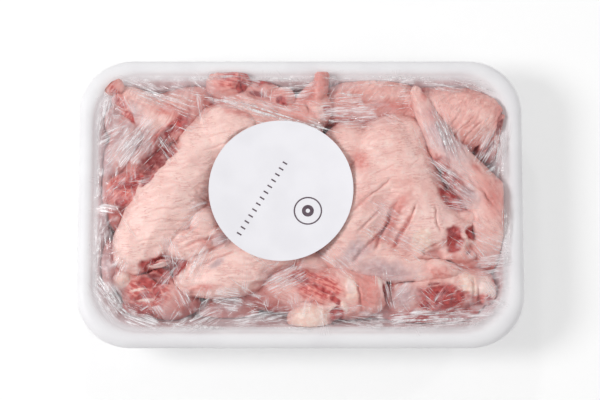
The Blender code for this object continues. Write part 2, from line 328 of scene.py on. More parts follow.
def makeTray():
    section = list(innerWall)
    middle, top = tray["rimWidth"] / 2 + 0.3, tray["top"]
    for i in range(lip["steps"]):   # the rolled lip, from its inner edge over the top to its underside
        angle = math.radians(lip["start"] - lip["step"] * i)
        section.append((middle - lip["halfWidth"] * math.cos(angle),
                        top - lip["halfHeight"] + lip["halfHeight"] * math.sin(angle)))
    rings = [ringAt(inset, z, tray["cornerSteps"]) for inset, z in section + outerWall]
    piece = loftRings("foamTray", rings)
    wet = [1.0, 1.0, 1.0, 1.0, 0.95, 0.70, 0.45, 0.18]   # juices stain the inside and painted shade darkens it towards the floor, less towards the rim
    wet += [0.0] * (len(rings) - len(wet))
    addField(piece.data, "wet", np.repeat(wet, len(rings[0])))
    piece.data.materials.append(makeFoam())
    handOver(piece, "foam", "tray")
    piece.data.set_sharp_from_angle(angle=math.radians(60))
    return piece


# Places are in mm from the middle of the tray, x to the right and y to the back. Lumps are grown out of the
# wing: kind, x, y, z, half sizes, turn in degrees. Marks are painted and pressed in: kind, x, y, length,
# width, turn, depth. Creases run between two places: x, y, x, y, width, depth.
wings = {
    "wing_left": {
        "turn": 6, "tone": -0.35, "folds": 0.34, "pimples": 0.1,
        "lumps": [
            ("skin", -55, -22, 29, 13, 9, 8, 0), ("skin", -37.5, -38.5, 27, 22, 9.5, 9, 8),
            ("bone", -71, -32.5, 34, 5.5, 1.6, 1.8, 14), ("skin", -82, -21.5, 28, 12.5, 14, 9, 20),
            ("skin", -48.5, -11, 29, 9, 8, 7, 0), ("skin", -42.5, -19, 28, 10, 8, 7, 0),
            ("skin", -38, 36.5, 29, 16, 14, 8, 20)],
        "marks": [
            ("flesh", -73, 18.5, 27, 8, 50, 2.2), ("creviceShade", -70, 22, 20, 5, 52, 0.8),
            ("rosy", -67, 25, 20, 8, 52, 1.6), ("flesh", -77, 11, 10, 6, 50, 1.4),
            ("flesh", -70, -34, 25, 12.5, 4, 2), ("bone", -71.5, -33, 11, 3, 14, -0.8),
            ("flesh", -68, -40, 10, 5, -25, 2.4), ("creviceShade", -67.5, -41.5, 8, 2.6, -25, 1.6),
            ("bone", -67.5, -35, 2.6, 2.2, 0, -0.6), ("rosy", -44.5, -21.5, 18, 5, 18, 0.2),
            ("rosy", -59, -32.5, 6, 4, 60, 0.4), ("rosy", -48.5, -44.5, 20, 3.5, 4, 0),
            ("rosy", -19.5, -44, 16, 3, 14, 0), ("shadedVeil", -39.5, -20.5, 12, 6, 20, 0.2),
            ("shadedVeil", -41.5, -32.5, 10, 4, 40, 0.1), ("rosy", -30.5, 45, 18, 5, -10, 0)],
        "creases": [
            (-58, -24.5, -40.5, -17.5, 1.1, 1.2), (-55, -29.5, -36.5, -21.5, 1, 1),
            (-52, -34, -32.5, -26, 0.9, 0.9), (-48, -20.5, -34.5, -16, 0.8, 0.6),
            (-76, -7, -57, -4.5, 0.6, 0.35), (-78, -12, -52, -10.5, 0.6, 0.35),
            (-72, -17, -51, -14.5, 0.6, 0.35), (-83, -21.5, -71, -19.5, 0.6, 0.3),
            (-56, 1.5, -43.5, -0.5, 0.6, 0.35), (-58, 6.5, -44.5, 8.5, 0.6, 0.3),
            (-61, 14, -46, 18, 0.6, 0.3), (-51, 25, -37.5, 29, 0.6, 0.3),
            (-48, 32.5, -32.5, 35, 0.6, 0.3), (-58, -32.5, -43.5, -30.5, 0.8, 0.6),
            (-25.5, -43, -6.5, -37, 0.9, 0.7)],
    },
    "wing_right": {
        "turn": 4, "tone": 0.25, "folds": 0.34, "pimples": 0.14,
        "lumps": [
            ("skin", 49.5, 26.5, 26, 15.5, 20, 12, 0), ("skin", 25, 26, 25, 16, 17, 10.5, 0),
            ("skin", 6, -30.5, 25, 11, 6, 7, -20), ("rosy", 81.5, -31, 21, 10, 5, 6, 0),
            ("skin", 65.5, 3.5, 26, 7, 16, 7, 0), ("bone", 72, -8, 31, 5.5, 5.5, 4, 0),
            ("flesh", 76.5, 0, 27, 9, 4.5, 6, -42), ("skin", 82.5, -8, 29, 7, 3.6, 3.4, -6),
            ("skin", 69.5, -35, 27, 11, 5.2, 6, -5), ("skin", 78, -25.5, 26, 10, 5.5, 5, -8),
            ("skin", 88, -19, 24, 6, 6, 5, 0), ("skin", 63, -12.5, 29, 8, 13, 7, 10)],
        "marks": [
            ("flesh", 77, -20, 14, 10.5, 80, 2.2), ("flesh", 86.5, -16, 8.5, 7, 10, 1.8),
            ("flesh", 76.5, -1.5, 12, 4, -42, 0.8), ("shadedVeil", 27.5, -27.5, 20, 12, 38, 0.3),
            ("shadedVeil", 43, -35.5, 36, 12, -10, 0.5), ("rosy", 69.5, -37, 18, 8, -5, -0.4),
            ("rosy", 85, -25, 6, 6, 0, 0.2), ("creviceShade", 84.5, -26, 3, 1.6, 30, 0.6),
            ("rosy", 50.5, -17, 20, 3, 60, 0.3), ("rosy", 40, -16, 24, 3, 58, 0.3),
            ("bone", 72, -8.5, 11, 10, 0, 0), ("rosy", 85.5, -32.5, 8, 5, -20, 0.2),
            ("fat", 60.5, -21, 13, 10, 60, -0.3), ("rosy", 48, -8, 30, 6, 60, 0),
            ("rosy", 30, 20.5, 10, 14, 20, 0)],
        "creases": [
            (49.5, 0, 37, -26, 1.3, 1.3), (58.5, -3, 46.5, -24, 1, 1.1), (46.5, 11, 26, -6.5, 1, 0.8),
            (43, -13.5, 26, -32.5, 1.2, 1.1), (66.5, -3.5, 70.5, -17, 0.7, 0.9),
            (25, -35.5, 39, -42, 1.3, 1.8), (39, -42, 58.5, -41, 1.3, 1.9),
            (58.5, -29.5, 77.5, -30.5, 0.9, 1.4), (36, 20.5, 50.5, 24.5, 0.5, 0.3),
            (33, 11, 49.5, 17.5, 0.5, 0.3), (31, 5, 42, 9, 0.5, 0.3), (38, 29.5, 55.5, 32, 0.5, 0.25),
            (52.5, 15.5, 60.5, 20.5, 0.5, 0.3), (28, -17, 40, -4.5, 0.8, 0.6),
            (59.5, -26, 70.5, -21, 0.6, 0.5)],
    },
    "wing_tip_right": {
        "turn": -55, "tone": 0.5, "folds": 0.42, "pimples": 0.1,
        "lumps": [
            ("skin", 85.5, 8, 24, 18, 9, 9, -50), ("skin", 95.5, -2.5, 23, 8.5, 14, 9, 12),
            ("shadedVeil", 75.5, 24, 27, 17, 7, 7, -64), ("flesh", 73.5, 10, 20, 7, 17, 6, 24)],
        "marks": [
            ("shadedVeil", 73.5, 31.5, 38, 17, -64, 0.2), ("rosy", 62.5, 54, 8, 3.6, -75, 0),
            ("flesh", 62, 57.5, 3.5, 2.6, -75, 0), ("rosy", 88.5, 16.5, 9, 4, -50, 0.5),
            ("rosy", 97, 0.5, 12, 20, 10, 0), ("rosy", 66.5, 43, 5, 14, 15, 0),
            ("shadedVeil", 85.5, 3, 16, 8, -40, 0.2), ("rosy", 96.5, 0.5, 12, 22, 10, 0),
            ("creviceShade", 67.5, 18, 9, 3, -45, 1.2), ("rosy", 99, 10.5, 6, 9, 0, 0)],
        "creases": [
            (65.5, 21, 78.5, 9.5, 1, 1.3), (70.5, 17, 88.5, 2.5, 0.9, 1),
            (68.5, 40.5, 76.5, 17, 0.6, 0.5), (72.5, 43, 83.5, 21, 0.6, 0.5),
            (90.5, 5.5, 101, -7.5, 0.7, 0.5), (81.5, 13.5, 97, -2, 0.8, 0.7)],
    },
    "wing_back": {
        "turn": -16, "tone": 0.6, "folds": 0.4, "pimples": 0.08,
        "lumps": [
            ("rosy", -37, 62, 28, 11, 7.5, 6.5, 0), ("rosy", -9, 54.5, 27, 6, 5.5, 5, -20),
            ("rosy", 10.5, 61.5, 31, 3.6, 10, 4.4, -6), ("rosy", -21.5, 58.5, 24, 11, 6, 6, 0),
            ("flesh", -18.5, 65.5, 19, 15, 5, 6, 0), ("flesh", -56, 48.5, 17, 10, 5, 7, 40),
            ("skin", -19.5, 49, 25, 12, 6, 6, 0), ("skin", -0.5, 45, 25, 15, 8, 7, 0),
            ("skin", -25.5, 50.5, 25, 15, 7, 6, -12), ("skin", 9, 48.5, 27, 6, 9, 6, -10)],
        "marks": [
            ("rosy", -37, 61.5, 30, 20, -4, 0.1), ("muscle", -35.5, 62.5, 15, 9, -4, 0.2),
            ("rosy", -9, 53.5, 18, 12, -30, 0.1), ("rosy", 10.5, 60.5, 11, 24, -6, 0),
            ("creviceShade", -22.5, 56.5, 10, 3, -12, 1), ("rosy", -21.5, 56, 16, 9, -12, 0.6),
            ("rosy", 4, 54.5, 16, 12, 0, 0), ("flesh", -9.5, 52.5, 7, 4, -30, 0.4),
            ("rosy", 13, 63.5, 4, 10, -6, 0), ("flesh", -30.5, 59.5, 5, 7, -10, 0.5),
            ("flesh", -39.5, 67, 9, 2.5, -6, 0), ("rosy", -2, 60.5, 8, 6, 0, 0.4),
            ("flesh", 13, 48, 4, 5, 0, 0.3), ("rosy", -0.5, 44, 20, 9, 0, 0)],
        "creases": [
            (-30.5, 52.5, -19.5, 48, 0.9, 0.9), (-19.5, 52.5, -10.5, 46, 0.9, 0.8),
            (2.5, 52.5, 8, 42, 0.8, 0.9), (-32.5, 67, -28.5, 55.5, 0.8, 0.7)],
    },
    "wing_front": {
        "turn": -24, "tone": 0.6, "folds": 0.26, "pimples": 0.04,
        "lumps": [
            ("rosy", 35.5, -46.5, 27, 7.5, 9.5, 7, 10), ("fat", 25, -45.5, 29, 4, 7, 4, 8),
            ("fat", 5, -58.5, 24, 12, 6.5, 6.5, 4), ("muscle", 9, -44, 25, 14, 8, 7, -22),
            ("fat", 17, -56, 26, 5, 3.4, 3, 20), ("bone", 40.5, -42.5, 25, 2.5, 7, 4, 12),
            ("shadedVeil", -37.5, -52.5, 13, 16, 7, 5, 0)],
        "marks": [
            ("rosy", 33, -46, 24, 28, 0, 0), ("muscle", 8, -43, 30, 13, -24, 0.2),
            ("flesh", 2.5, -41, 15, 3, -24, 0.5), ("flesh", 11, -45.5, 16, 2.6, -24, 0.5),
            ("flesh", 17, -57, 13, 7, 10, 1), ("fat", 5, -59.5, 20, 12, 4, -0.3),
            ("creviceShade", 42.5, -48.5, 2.6, 12, 14, 1.6), ("rosy", 35.5, -46.5, 22, 24, 0, 0),
            ("rosy", 34, -45.5, 14, 16, 0, 0), ("flesh", 18, -51, 8, 3, -30, 0.6),
            ("bone", 25, -44.5, 5, 9, 10, -0.2), ("fat", 22, -53.5, 3, 6, 30, -0.4),
            ("fat", 15, -55, 7, 1.4, 30, -0.5), ("rosy", 33, -52.5, 8, 8, 0, 0.3),
            ("rosy", 36, -42.5, 12, 8, 0, 0)],
        "creases": [
            (28, -41.5, 31, -56, 0.8, 0.9), (43, -40.5, 43, -54, 1, 1.8), (-0.5, -51, 15, -53, 0.8, 0.8)],
    },
    "wing_front_right": {
        "turn": 0, "tone": 0.5, "folds": 0.3, "pimples": 0.04,
        "lumps": [
            ("flesh", 71, -49, 22, 12, 7.5, 6, 2), ("fat", 84.5, -43.5, 25, 4.2, 8, 5, 14),
            ("bone", 93.5, -44.5, 24, 5, 7, 5, 8), ("shadedVeil", 52, -48, 21, 10, 8, 6, 0),
            ("shadedVeil", 88.5, -51.5, 17, 9, 5, 5, 0), ("flesh", 44, -44.5, 18, 4, 10, 6, 10),
            ("flesh", 68, -57.5, 20, 24, 4.5, 4, 3)],
        "marks": [
            ("flesh", 69.5, -49, 28, 15.5, 4, 1.6), ("rosy", 96.5, -42.5, 7, 9, 20, 0.3),
            ("flesh", 95.5, -50, 6, 2.5, -50, 0.3), ("rosy", 90.5, -47, 5, 8, -30, 0.4),
            ("creviceShade", 67, -42.5, 8, 1.8, 8, 1.2), ("shadedVeil", 52, -48, 17, 14, 0, 0),
            ("rosy", 73, -59.5, 40, 5, 3, 0), ("flesh", 63, -53, 8, 5, 0, 0.6),
            ("rosy", 85.5, -54.5, 9, 5, 0, 0.4), ("rosy", 93.5, -43, 9, 6, -60, 0.3),
            ("muscle", 89.5, -49.5, 7, 5, 20, 0.3), ("rosy", 85.5, -46, 6, 14, 10, 0.3)],
        "creases": [
            (62.5, -56.5, 88.5, -55.5, 0.8, 0.9), (44, -42, 46.5, -53, 0.9, 1.4),
            (86.5, -39, 87.5, -52.5, 0.8, 0.9)],
    },
    "wing_corner_left": {
        "turn": 56, "tone": 0.45, "folds": 0.38, "pimples": 0.05,
        "lumps": [
            ("rosy", -97.5, 62, 31, 8, 4, 3, -32), ("flesh", -71, 28, 15, 24, 6, 8, 52),
            ("flesh", -72.5, 20, 24, 19, 8, 8, 50), ("shadedVeil", -95.5, 45, 20, 8, 9, 6, 0),
            ("shadedVeil", -99.5, 8, 19, 4, 14, 7, 0), ("flesh", -89.5, -3.5, 20, 6, 4, 6, 0),
            ("skin", -80, 51.5, 25, 18, 6.5, 6, -24), ("muscle", -87, 5, 26, 11.5, 11, 7.5, 20),
            ("shadedVeil", -89, 33, 22, 8, 20, 7, -22), ("skin", -66, 44, 25, 12, 8, 6, -10),
            ("shadedVeil", -98, 20.5, 20, 5, 12, 6, 0)],
        "marks": [
            ("rosy", -97.5, 62.5, 16, 9, -30, 0), ("flesh", -98.5, 63.5, 7, 2.5, -30, 0.2),
            ("flesh", -87.5, 46, 11, 3, -60, 0.5), ("muscle", -92, 52.5, 20, 5, -58, 0.3),
            ("rosy", -92.5, 54, 18, 9, -50, 0), ("shadedVeil", -84, 31, 26, 13, 50, 0.2),
            ("creviceShade", -73, 23.5, 27, 12, 52, 4.2), ("creviceShade", -68.5, 34.5, 14, 5, 48, 1.8),
            ("muscle", -87.5, 6, 24, 21, 20, 0.4), ("rosy", -87.5, 6, 30, 28, 20, 0),
            ("flesh", -87, 8.5, 14, 6, 8, 0.6), ("flesh", -83, 12, 10, 4, 10, 0.8),
            ("creviceShade", -89.5, -3.5, 7, 4, -20, 1.2), ("rosy", -67, 47, 22, 8, -16, 0),
            ("flesh", -90, -0.5, 7, 5, 0, 0.6), ("shadedVeil", -78, 27.5, 10, 4, 50, -0.3),
            ("rosy", -95.5, 13, 4, 14, 10, 0), ("creviceShade", -75.5, 16, 8, 4, 40, 1.2)],
        "creases": [
            (-89, 27.5, -75, 40.5, 0.7, 0.8), (-85, 23, -71, 38.5, 0.7, 0.9),
            (-81, 19.5, -66, 35.5, 0.8, 1), (-91.5, 48, -77, 44, 0.7, 0.6), (-76, 55, -59, 47, 0.7, 0.6),
            (-87, 53, -76, 49, 0.7, 0.6)],
    },
    "wing_front_left": {
        "turn": -30, "tone": 0.6, "folds": 0.32, "pimples": 0.04,
        "lumps": [
            ("muscle", -77.5, -45, 22, 12.5, 10.5, 7, 0), ("fat", -89.5, -39.5, 24, 5, 4.5, 4, 40),
            ("muscle", -80.5, -52.5, 18, 10, 4.5, 4.5, -10), ("skin", -60, -50, 19, 9, 6, 5, 0),
            ("shadedVeil", -98, -31.5, 19, 6, 14, 7, 0), ("flesh", -71, -37, 17, 8, 5, 6, 0)],
        "marks": [
            ("muscle", -78, -46, 25, 20, 0, 0.4), ("flesh", -76, -41.5, 16, 6, -10, 1),
            ("flesh", -78.5, -48.5, 12, 5, 10, 0.8), ("creviceShade", -71, -39.5, 12, 3.6, -22, 2),
            ("fat", -89, -39.5, 10, 7, 40, 0), ("rosy", -95.5, -30, 10, 18, 0, 0),
            ("fat", -82, -45, 8, 1.6, 10, -0.3), ("flesh", -81, -54, 16, 4, -8, 0.4),
            ("rosy", -61, -51, 14, 10, 0, 0), ("fat", -78, -50, 9, 1.4, 4, -0.3),
            ("flesh", -72, -46, 5, 8, 30, 0.9)],
        "creases": [
            (-84, -41.5, -72, -43.5, 0.8, 0.8), (-71, -44.5, -68, -52, 0.8, 0.9)],
    },
    "wing_back_right": {
        "turn": 50, "tone": 0.92, "folds": 0.36, "pimples": 0.3,
        "lumps": [
            ("skin", 88, 44, 23, 17, 15, 13, -15), ("skin", 36, 56.5, 23, 26, 8.5, 8, 0),
            ("skin", 63, 50.5, 24, 14, 8, 7, -20), ("rosy", 95, 28.5, 20, 8, 6, 6, 20)],
        "marks": [
            ("creviceShade", 87.5, 26, 11, 2.6, 48, 2.2), ("flesh", 93, 23.5, 5, 2.8, -10, 0.6),
            ("rosy", 49.5, 50.5, 26, 5, -6, 0), ("creviceShade", 101, 39, 2, 9, -20, 1.4),
            ("rosy", 101, 42, 6, 18, 0, 0), ("creviceShade", 96, 28.5, 9, 2, 55, 1.4),
            ("rosy", 85.5, 29.5, 16, 5, 20, 0)],
        "creases": [
            (102.5, 48.5, 99.5, 36, 0.8, 1.5), (100, 38, 92, 26.5, 0.8, 1.4),
            (76.5, 31, 87.5, 44, 0.6, 0.6), (79.5, 27.5, 92, 42, 0.6, 0.6),
            (73.5, 36, 82.5, 48.5, 0.6, 0.5), (20, 50.5, 40, 52.5, 0.6, 0.5),
            (18, 54.5, 36, 57.5, 0.6, 0.4)],
    },
}
skin = {"voxel": 0.55, "smoothing": 8, "puff": 0.8, "sag": 0.8, "foldSpacing": 2.0, "pimpleSpacing": 1.7}
# Two kinds are painted shade: the near-black crevice kind and the greyish lavender kind laid over meat in
# gaps.
kinds = ("flesh", "muscle", "rosy", "fat", "bone", "shadedVeil", "creviceShade")


def ballPoints():
    bm = bmesh.new()
    bmesh.ops.create_icosphere(bm, subdivisions=3, radius=1.0)
    points = np.array([vert.co for vert in bm.verts])
    faces = [tuple(vert.index for vert in face.verts) for face in bm.faces]
    bm.free()
    return points, faces


def mergedCopy(node):   # a CAD node's mesh with its loose triangles joined up
    bm = bmesh.new()
    bm.from_mesh(bpy.data.objects[node].data)
    bmesh.ops.remove_doubles(bm, verts=bm.verts, dist=1e-6)
    mesh = bpy.data.meshes.new(node + "_copy")
    bm.to_mesh(mesh)
    bm.free()
    return mesh


def treeOf(mesh):
    return BVHTree.FromPolygons([vert.co.copy() for vert in mesh.vertices],
                                [tuple(face.vertices) for face in mesh.polygons])


def topAt(trees, x, y):   # the height of the highest surface at a place, in mm
    hits = [tree.ray_cast(Vector((x * mm, y * mm, 0.1)), Vector((0, 0, -1)))[0] for tree in trees]
    return max((hit.z / mm for hit in hits if hit), default=None)


def turned(x, y, degrees):
    angle = math.radians(degrees)
    return x * math.cos(angle) + y * math.sin(angle), y * math.cos(angle) - x * math.sin(angle)


def skinSettings():
    tree, maker, given = newTree("wingSkin", {
        "Fold Turn": ("Float", 0.0), "Fold Depth": ("Float", 0.0004), "Fold Spacing": ("Float", 0.0026),
        "Pimple Depth": ("Float", 0.0002), "Pimple Spacing": ("Float", 0.0019), "Sag": ("Float", 0.0009),
        "Seed": ("Float", 1.0), "Material": ("Material", None)})
    place = maker.node("GeometryNodeInputPosition") + given["Seed"] * 0.37
    normal = maker.node("GeometryNodeInputNormal")
    bare = 1 - maker.node("GeometryNodeInputNamedAttribute", None, {"Name": "cut"})
    warp = maker.node("ShaderNodeTexNoise", None, {"Vector": place, "Scale": 60.0, "Detail": 1.0}, out=1)
    around = maker.node("ShaderNodeVectorRotate", {"rotation_type": "Z_AXIS"},
                        {"Vector": place + warp * 0.012, "Angle": 0 - given["Fold Turn"]})
    long = maker.node("ShaderNodeVectorMath", {"operation": "DIVIDE"}, {0: around, 1: given["Fold Spacing"]})
    long = long * (0.16, 1.0, 0.7)
    wave = maker.node("ShaderNodeTexNoise", None,
                      {"Vector": long, "Scale": 0.62, "Detail": 1.5, "Roughness": 0.45})
    crest = ((wave - 0.5).size() * -9.0 + 1.0).most(0.0)   # sharp lines where the noise passes its middle
    patch = maker.noise(place, 17 * mm, 1.0).rise(0.40, 0.60)
    fold = crest * (patch * 0.75 + 0.25) * bare
    pimples = maker.node("ShaderNodeTexVoronoi", None, {
        "Vector": maker.node("ShaderNodeVectorMath", {"operation": "DIVIDE"},
                             {0: place, 1: given["Pimple Spacing"]}), "Scale": 1.0})
    pimple = (1 - pimples.rise(0.05, 0.55)) * bare
    sag = maker.noise(place, 13 * mm, 2.0) - 0.5
    strand = maker.noise(around * (50.0, 900.0, 700.0), 1.0, 1.0) - 0.5
    lift = sag * given["Sag"] * 2.0 - fold * given["Fold Depth"] + pimple * given["Pimple Depth"]
    lift = lift + strand * (1 - bare) * 0.0011
    moved = maker.node("GeometryNodeSetPosition", None,
                       {"Geometry": given["Geometry"], "Offset": normal * lift})
    # The fold mask is kept for the painted shade along the folds.
    kept = maker.node("GeometryNodeStoreNamedAttribute", {"data_type": "FLOAT"},
                      {"Geometry": moved, "Name": "fold", "Value": fold})
    endTree(maker, kept, given["Material"])
    return tree


def wingBody(node, facts):   # the CAD shape with its lumps grown on, as one dense skin
    mesh = mergedCopy(node)
    allPoints, allFaces = [pointsOf(mesh)], [tuple(face.vertices) for face in mesh.polygons]
    ball, ballFaces = ballPoints()
    for number, (_kind, x, y, z, a, b, c, turn) in enumerate(facts["lumps"]):
        shape = ball * (1 + 0.10 * lumpy(ball, 0.7, number + 3))[:, None] * (a, b, c)
        alongX, alongY = turned(shape[:, 0], shape[:, 1], -turn)
        start = sum(len(part) for part in allPoints)
        allPoints.append(np.stack([x + alongX, y + alongY, z + shape[:, 2]], axis=1) * mm)
        allFaces += [tuple(start + index for index in face) for face in ballFaces]
    wing = addPiece(node + "_skin", np.concatenate(allPoints), allFaces)
    remesh = wing.modifiers.new("one skin", "REMESH")
    remesh.mode = "VOXEL"
    remesh.voxel_size = skin["voxel"] * mm
    soften = wing.modifiers.new("soften", "SMOOTH")
    soften.factor = 0.5
    soften.iterations = skin["smoothing"]
    settle(wing)
    return wing


def markWing(wing, facts, seed):   # paint the fields and press the marks and creases in
    mesh = wing.data
    points, normals = pointsOf(mesh) / mm, normalsOf(mesh)
    upward = smooth(normals[:, 2], -0.35, 0.15)
    wobble = lumpy(points, 4.0, seed) * 0.20 + lumpy(points, 1.7, seed + 1) * 0.14
    fields = {kind: np.zeros(len(points)) for kind in kinds}
    sunk = np.zeros(len(points))
    painted = [(kind, x, y, 2 * a, 2 * b, turn, 0.0) for kind, x, y, _z, a, b, _c, turn in facts["lumps"]]
    for kind, x, y, length, width, turn, depth in painted + facts["marks"]:
        if kind not in fields:
            continue
        along, across = turned(points[:, 0] - x, points[:, 1] - y, turn)
        reach = np.hypot(along / (length / 2), across / (width / 2)) + wobble
        soft = kind in ("rosy", "shadedVeil")
        cover = (1 - smooth(reach, 0.15 if soft else 0.70, 1.40 if soft else 1.15)) * upward
        if kind != "rosy":
            for other in kinds:
                fields[other] *= 1 - cover
        fields[kind] = np.maximum(fields[kind], cover)
        sunk += depth * (1 - smooth(reach, 0.45, 1.1)) * upward
    # This mask of the creases feeds only the painted shade in them.
    creaseShade = np.zeros(len(points))
    for x1, y1, x2, y2, width, depth in facts["creases"]:
        length = math.hypot(x2 - x1, y2 - y1)
        along = ((points[:, 0] - x1) * (x2 - x1) + (points[:, 1] - y1) * (y2 - y1)) / length
        across = ((points[:, 1] - y1) * (x2 - x1) - (points[:, 0] - x1) * (y2 - y1)) / length
        across = across + lumpy(points, 6.0, seed + 4) * 0.9 + lumpy(points, 2.5, seed + 5) * 0.35
        inside = smooth(along, -1, 3) * (1 - smooth(along, length - 3, length + 1)) * upward
        groove = np.exp(-(across / (0.6 * width)) ** 2) * inside
        bank = np.exp(-((np.abs(across) - 1.6 * width) / width) ** 2) * inside
        sunk += depth * groove - 0.30 * depth * bank
        creaseShade = np.maximum(creaseShade, groove * min(1, 0.4 + depth * 0.5))
    rough = lumpy(points, 1.5, seed + 7) * 0.5 + lumpy(points, 3.3, seed + 8) * 0.6
    sunk += (fields["flesh"] + 0.7 * fields["muscle"] + 0.5 * fields["fat"]) * rough * 0.8
    points = points + normals * (skin["puff"] - sunk)[:, None]
    points = keepInTray(points)
    movePoints(mesh, points * mm)
    for kind in kinds:
        addField(mesh, kind, fields[kind])
    cut = fields["flesh"] + fields["bone"] + 0.8 * fields["muscle"] + 0.7 * fields["fat"] + fields["creviceShade"]
    addField(mesh, "cut", np.clip(cut, 0, 1))
    addField(mesh, "creaseShade", creaseShade)
    addField(mesh, "tone", np.full(len(points), facts["tone"]))
    along, across = turned(points[:, 0], points[:, 1], facts["turn"])
    across = across + 1.6 * lumpy(points, 14.0, seed + 11)
    addField(mesh, "along", along)
    addField(mesh, "across", across + 0.5 * points[:, 2])


def keepInTray(points):   # nothing goes through the tray's wall or the label's plate
    z = points[:, 2]
    wall = innerWall + [(8.8, 30.4), (7.2, 30.8), (6.8, 33.0)]   # above the rim there is room to spread
    wallInset = np.interp(z, [h for _inset, h in wall], [inset for inset, _h in wall]) + 0.5
    result = points.copy()
    for _ in range(2):
        coreX, coreY, outX, outY, distance = outlineParts(result[:, 0], result[:, 1], wallInset)
        past = np.maximum(distance, 0)
        result[:, 0] -= outX * past
        result[:, 1] -= outY * past
    result[:, 2] = np.maximum(z, innerWall[0][1] + 0.4)
    near = np.hypot(result[:, 0] - label["x"], result[:, 1] - label["y"]) < label["radius"] + 1
    lid = plateHeight(result[:, 0], result[:, 1]) - 1.0
    result[:, 2] = np.where(near, np.minimum(result[:, 2], lid), result[:, 2])
    return result


def makeMeat():
    material, maker, shader = newMaterial("chicken")
    place = maker.node("ShaderNodeTexCoord", None, None, out=3)
    names = kinds + ("fold", "creaseShade", "tone", "shadeDepth", "along", "across")
    field = {name: maker.field(name) for name in names}
    broad = maker.noise(place, 14 * mm, 2.0)
    small = maker.noise(place, 2.6 * mm, 2.0)
    fine = maker.noise(place, 0.9 * mm, 2.0)
    laid = maker.node("ShaderNodeCombineXYZ", None, {0: field["along"] * 0.16, 1: field["across"]})
    wrinkle = maker.node("ShaderNodeTexNoise", None,
                         {"Vector": laid, "Scale": 0.72, "Detail": 2.0, "Roughness": 0.55})
    line = 1 - (wrinkle - 0.5).size().rise(0.0, 0.045)
    line = line * maker.noise(place, 8 * mm, 1.0).rise(0.40, 0.60)
    tone = field["tone"] * 0.8 + (broad - 0.5) * 1.8
    colour = maker.mix((0.94, 0.655, 0.60), (0.81, 0.42, 0.375), tone.rise(-0.2, 1.1))
    colour = maker.mix(colour, (0.95, 0.74, 0.68), small.rise(0.52, 0.72) * 0.45)
    colour = maker.mix(colour, (0.70, 0.30, 0.27), fine.rise(0.56, 0.76) * 0.30)
    colour = maker.mix(colour, (0.70, 0.24, 0.21), field["rosy"] * (0.50 + small.rise(0.35, 0.60) * 0.40))
    # Painted shade: folds, creases and wrinkle lines are darkened to a dull red, where shade falls in them.
    furrowShade = (field["fold"] * 0.30).most(field["creaseShade"] * 0.65).most(line * 0.52)
    colour = maker.mix(colour, (0.60, 0.20, 0.18), furrowShade)
    strand = maker.node("ShaderNodeTexNoise", None, {"Vector": laid, "Scale": 1.0, "Detail": 1.0})
    red = maker.mix((0.33, 0.028, 0.030), (0.56, 0.085, 0.078), small.rise(0.36, 0.62))
    red = maker.mix(red, (0.84, 0.42, 0.36), fine.rise(0.66, 0.80) * 0.18)
    grain = (strand * 0.6 + small * 0.4).rise(0.42, 0.60)
    muscle = maker.mix((0.54, 0.095, 0.088), (0.80, 0.29, 0.25), grain)
    muscle = maker.mix(muscle, (0.93, 0.62, 0.54), fine.rise(0.62, 0.76) * 0.28)
    fat = maker.mix((0.90, 0.62, 0.53), (0.93, 0.76, 0.68), small.rise(0.4, 0.65))
    bone = maker.mix((0.85, 0.55, 0.51), (0.92, 0.74, 0.69), broad.rise(0.4, 0.6))
    # Painted shade: a greyish lavender laid on meat that lies in shade under hazy film.
    shadedVeil = maker.mix((0.50, 0.34, 0.355), (0.73, 0.57, 0.58), (small * 0.5 + line * 0.3).rise(0.15, 0.50))
    colour = maker.mix(colour, shadedVeil, field["shadedVeil"] * 0.85)
    colour = maker.mix(colour, fat, field["fat"] * 0.9)
    colour = maker.mix(colour, bone, field["bone"] * 0.9)
    colour = maker.mix(colour, muscle, field["muscle"])
    colour = maker.mix(colour, red, field["flesh"])
    # Painted shade: meat lying far under the film is darkened to a blackish red, less so under the greyish
    # lavender cover.
    colour = maker.mix(colour, (0.48, 0.095, 0.088), field["shadeDepth"] * (0.85 - field["shadedVeil"] * 0.6))
    # Painted shade: the crevice marks are darkened nearly to black.
    colour = maker.mix(colour, (0.30, 0.038, 0.040), field["creviceShade"] * (0.60 + small.rise(0.3, 0.6) * 0.4))
    gloss = 0.46 - (field["flesh"] + field["muscle"]) * 0.14 - field["bone"] * 0.14 + (small - 0.5) * 0.30
    relief = fine * 0.5 + small - line * 0.55
    setShader(maker, shader, {
        "Base Color": colour, "Roughness": gloss, "Specular IOR Level": 0.45,
        "Subsurface Weight": 0.12, "Subsurface Radius": (1.0, 0.35, 0.25), "Subsurface Scale": 1.6 * mm,
        "Normal": maker.bump(relief, 0.36, 0.5 * mm),
    })
    return material


def makeWings(meat):
    tree = skinSettings()
    made = []
    for number, (node, facts) in enumerate(wings.items()):
        wing = wingBody(node, facts)
        markWing(wing, facts, number + 1)
        grow(wing, tree, {
            "Fold Turn": math.radians(facts["turn"]), "Fold Depth": facts["folds"] * mm,
            "Fold Spacing": skin["foldSpacing"] * mm, "Pimple Depth": facts["pimples"] * mm,
            "Pimple Spacing": skin["pimpleSpacing"] * mm, "Sag": skin["sag"] * mm,
            "Seed": float(number + 1), "Material": meat})
        wing.name = node + "_skin"
        movePoints(wing.data, keepInTray(pointsOf(wing.data) / mm) * mm)
        handOver(wing, "chicken", node)
        made.append(wing)
        print("made", wing.name, len(wing.data.polygons))
    return made


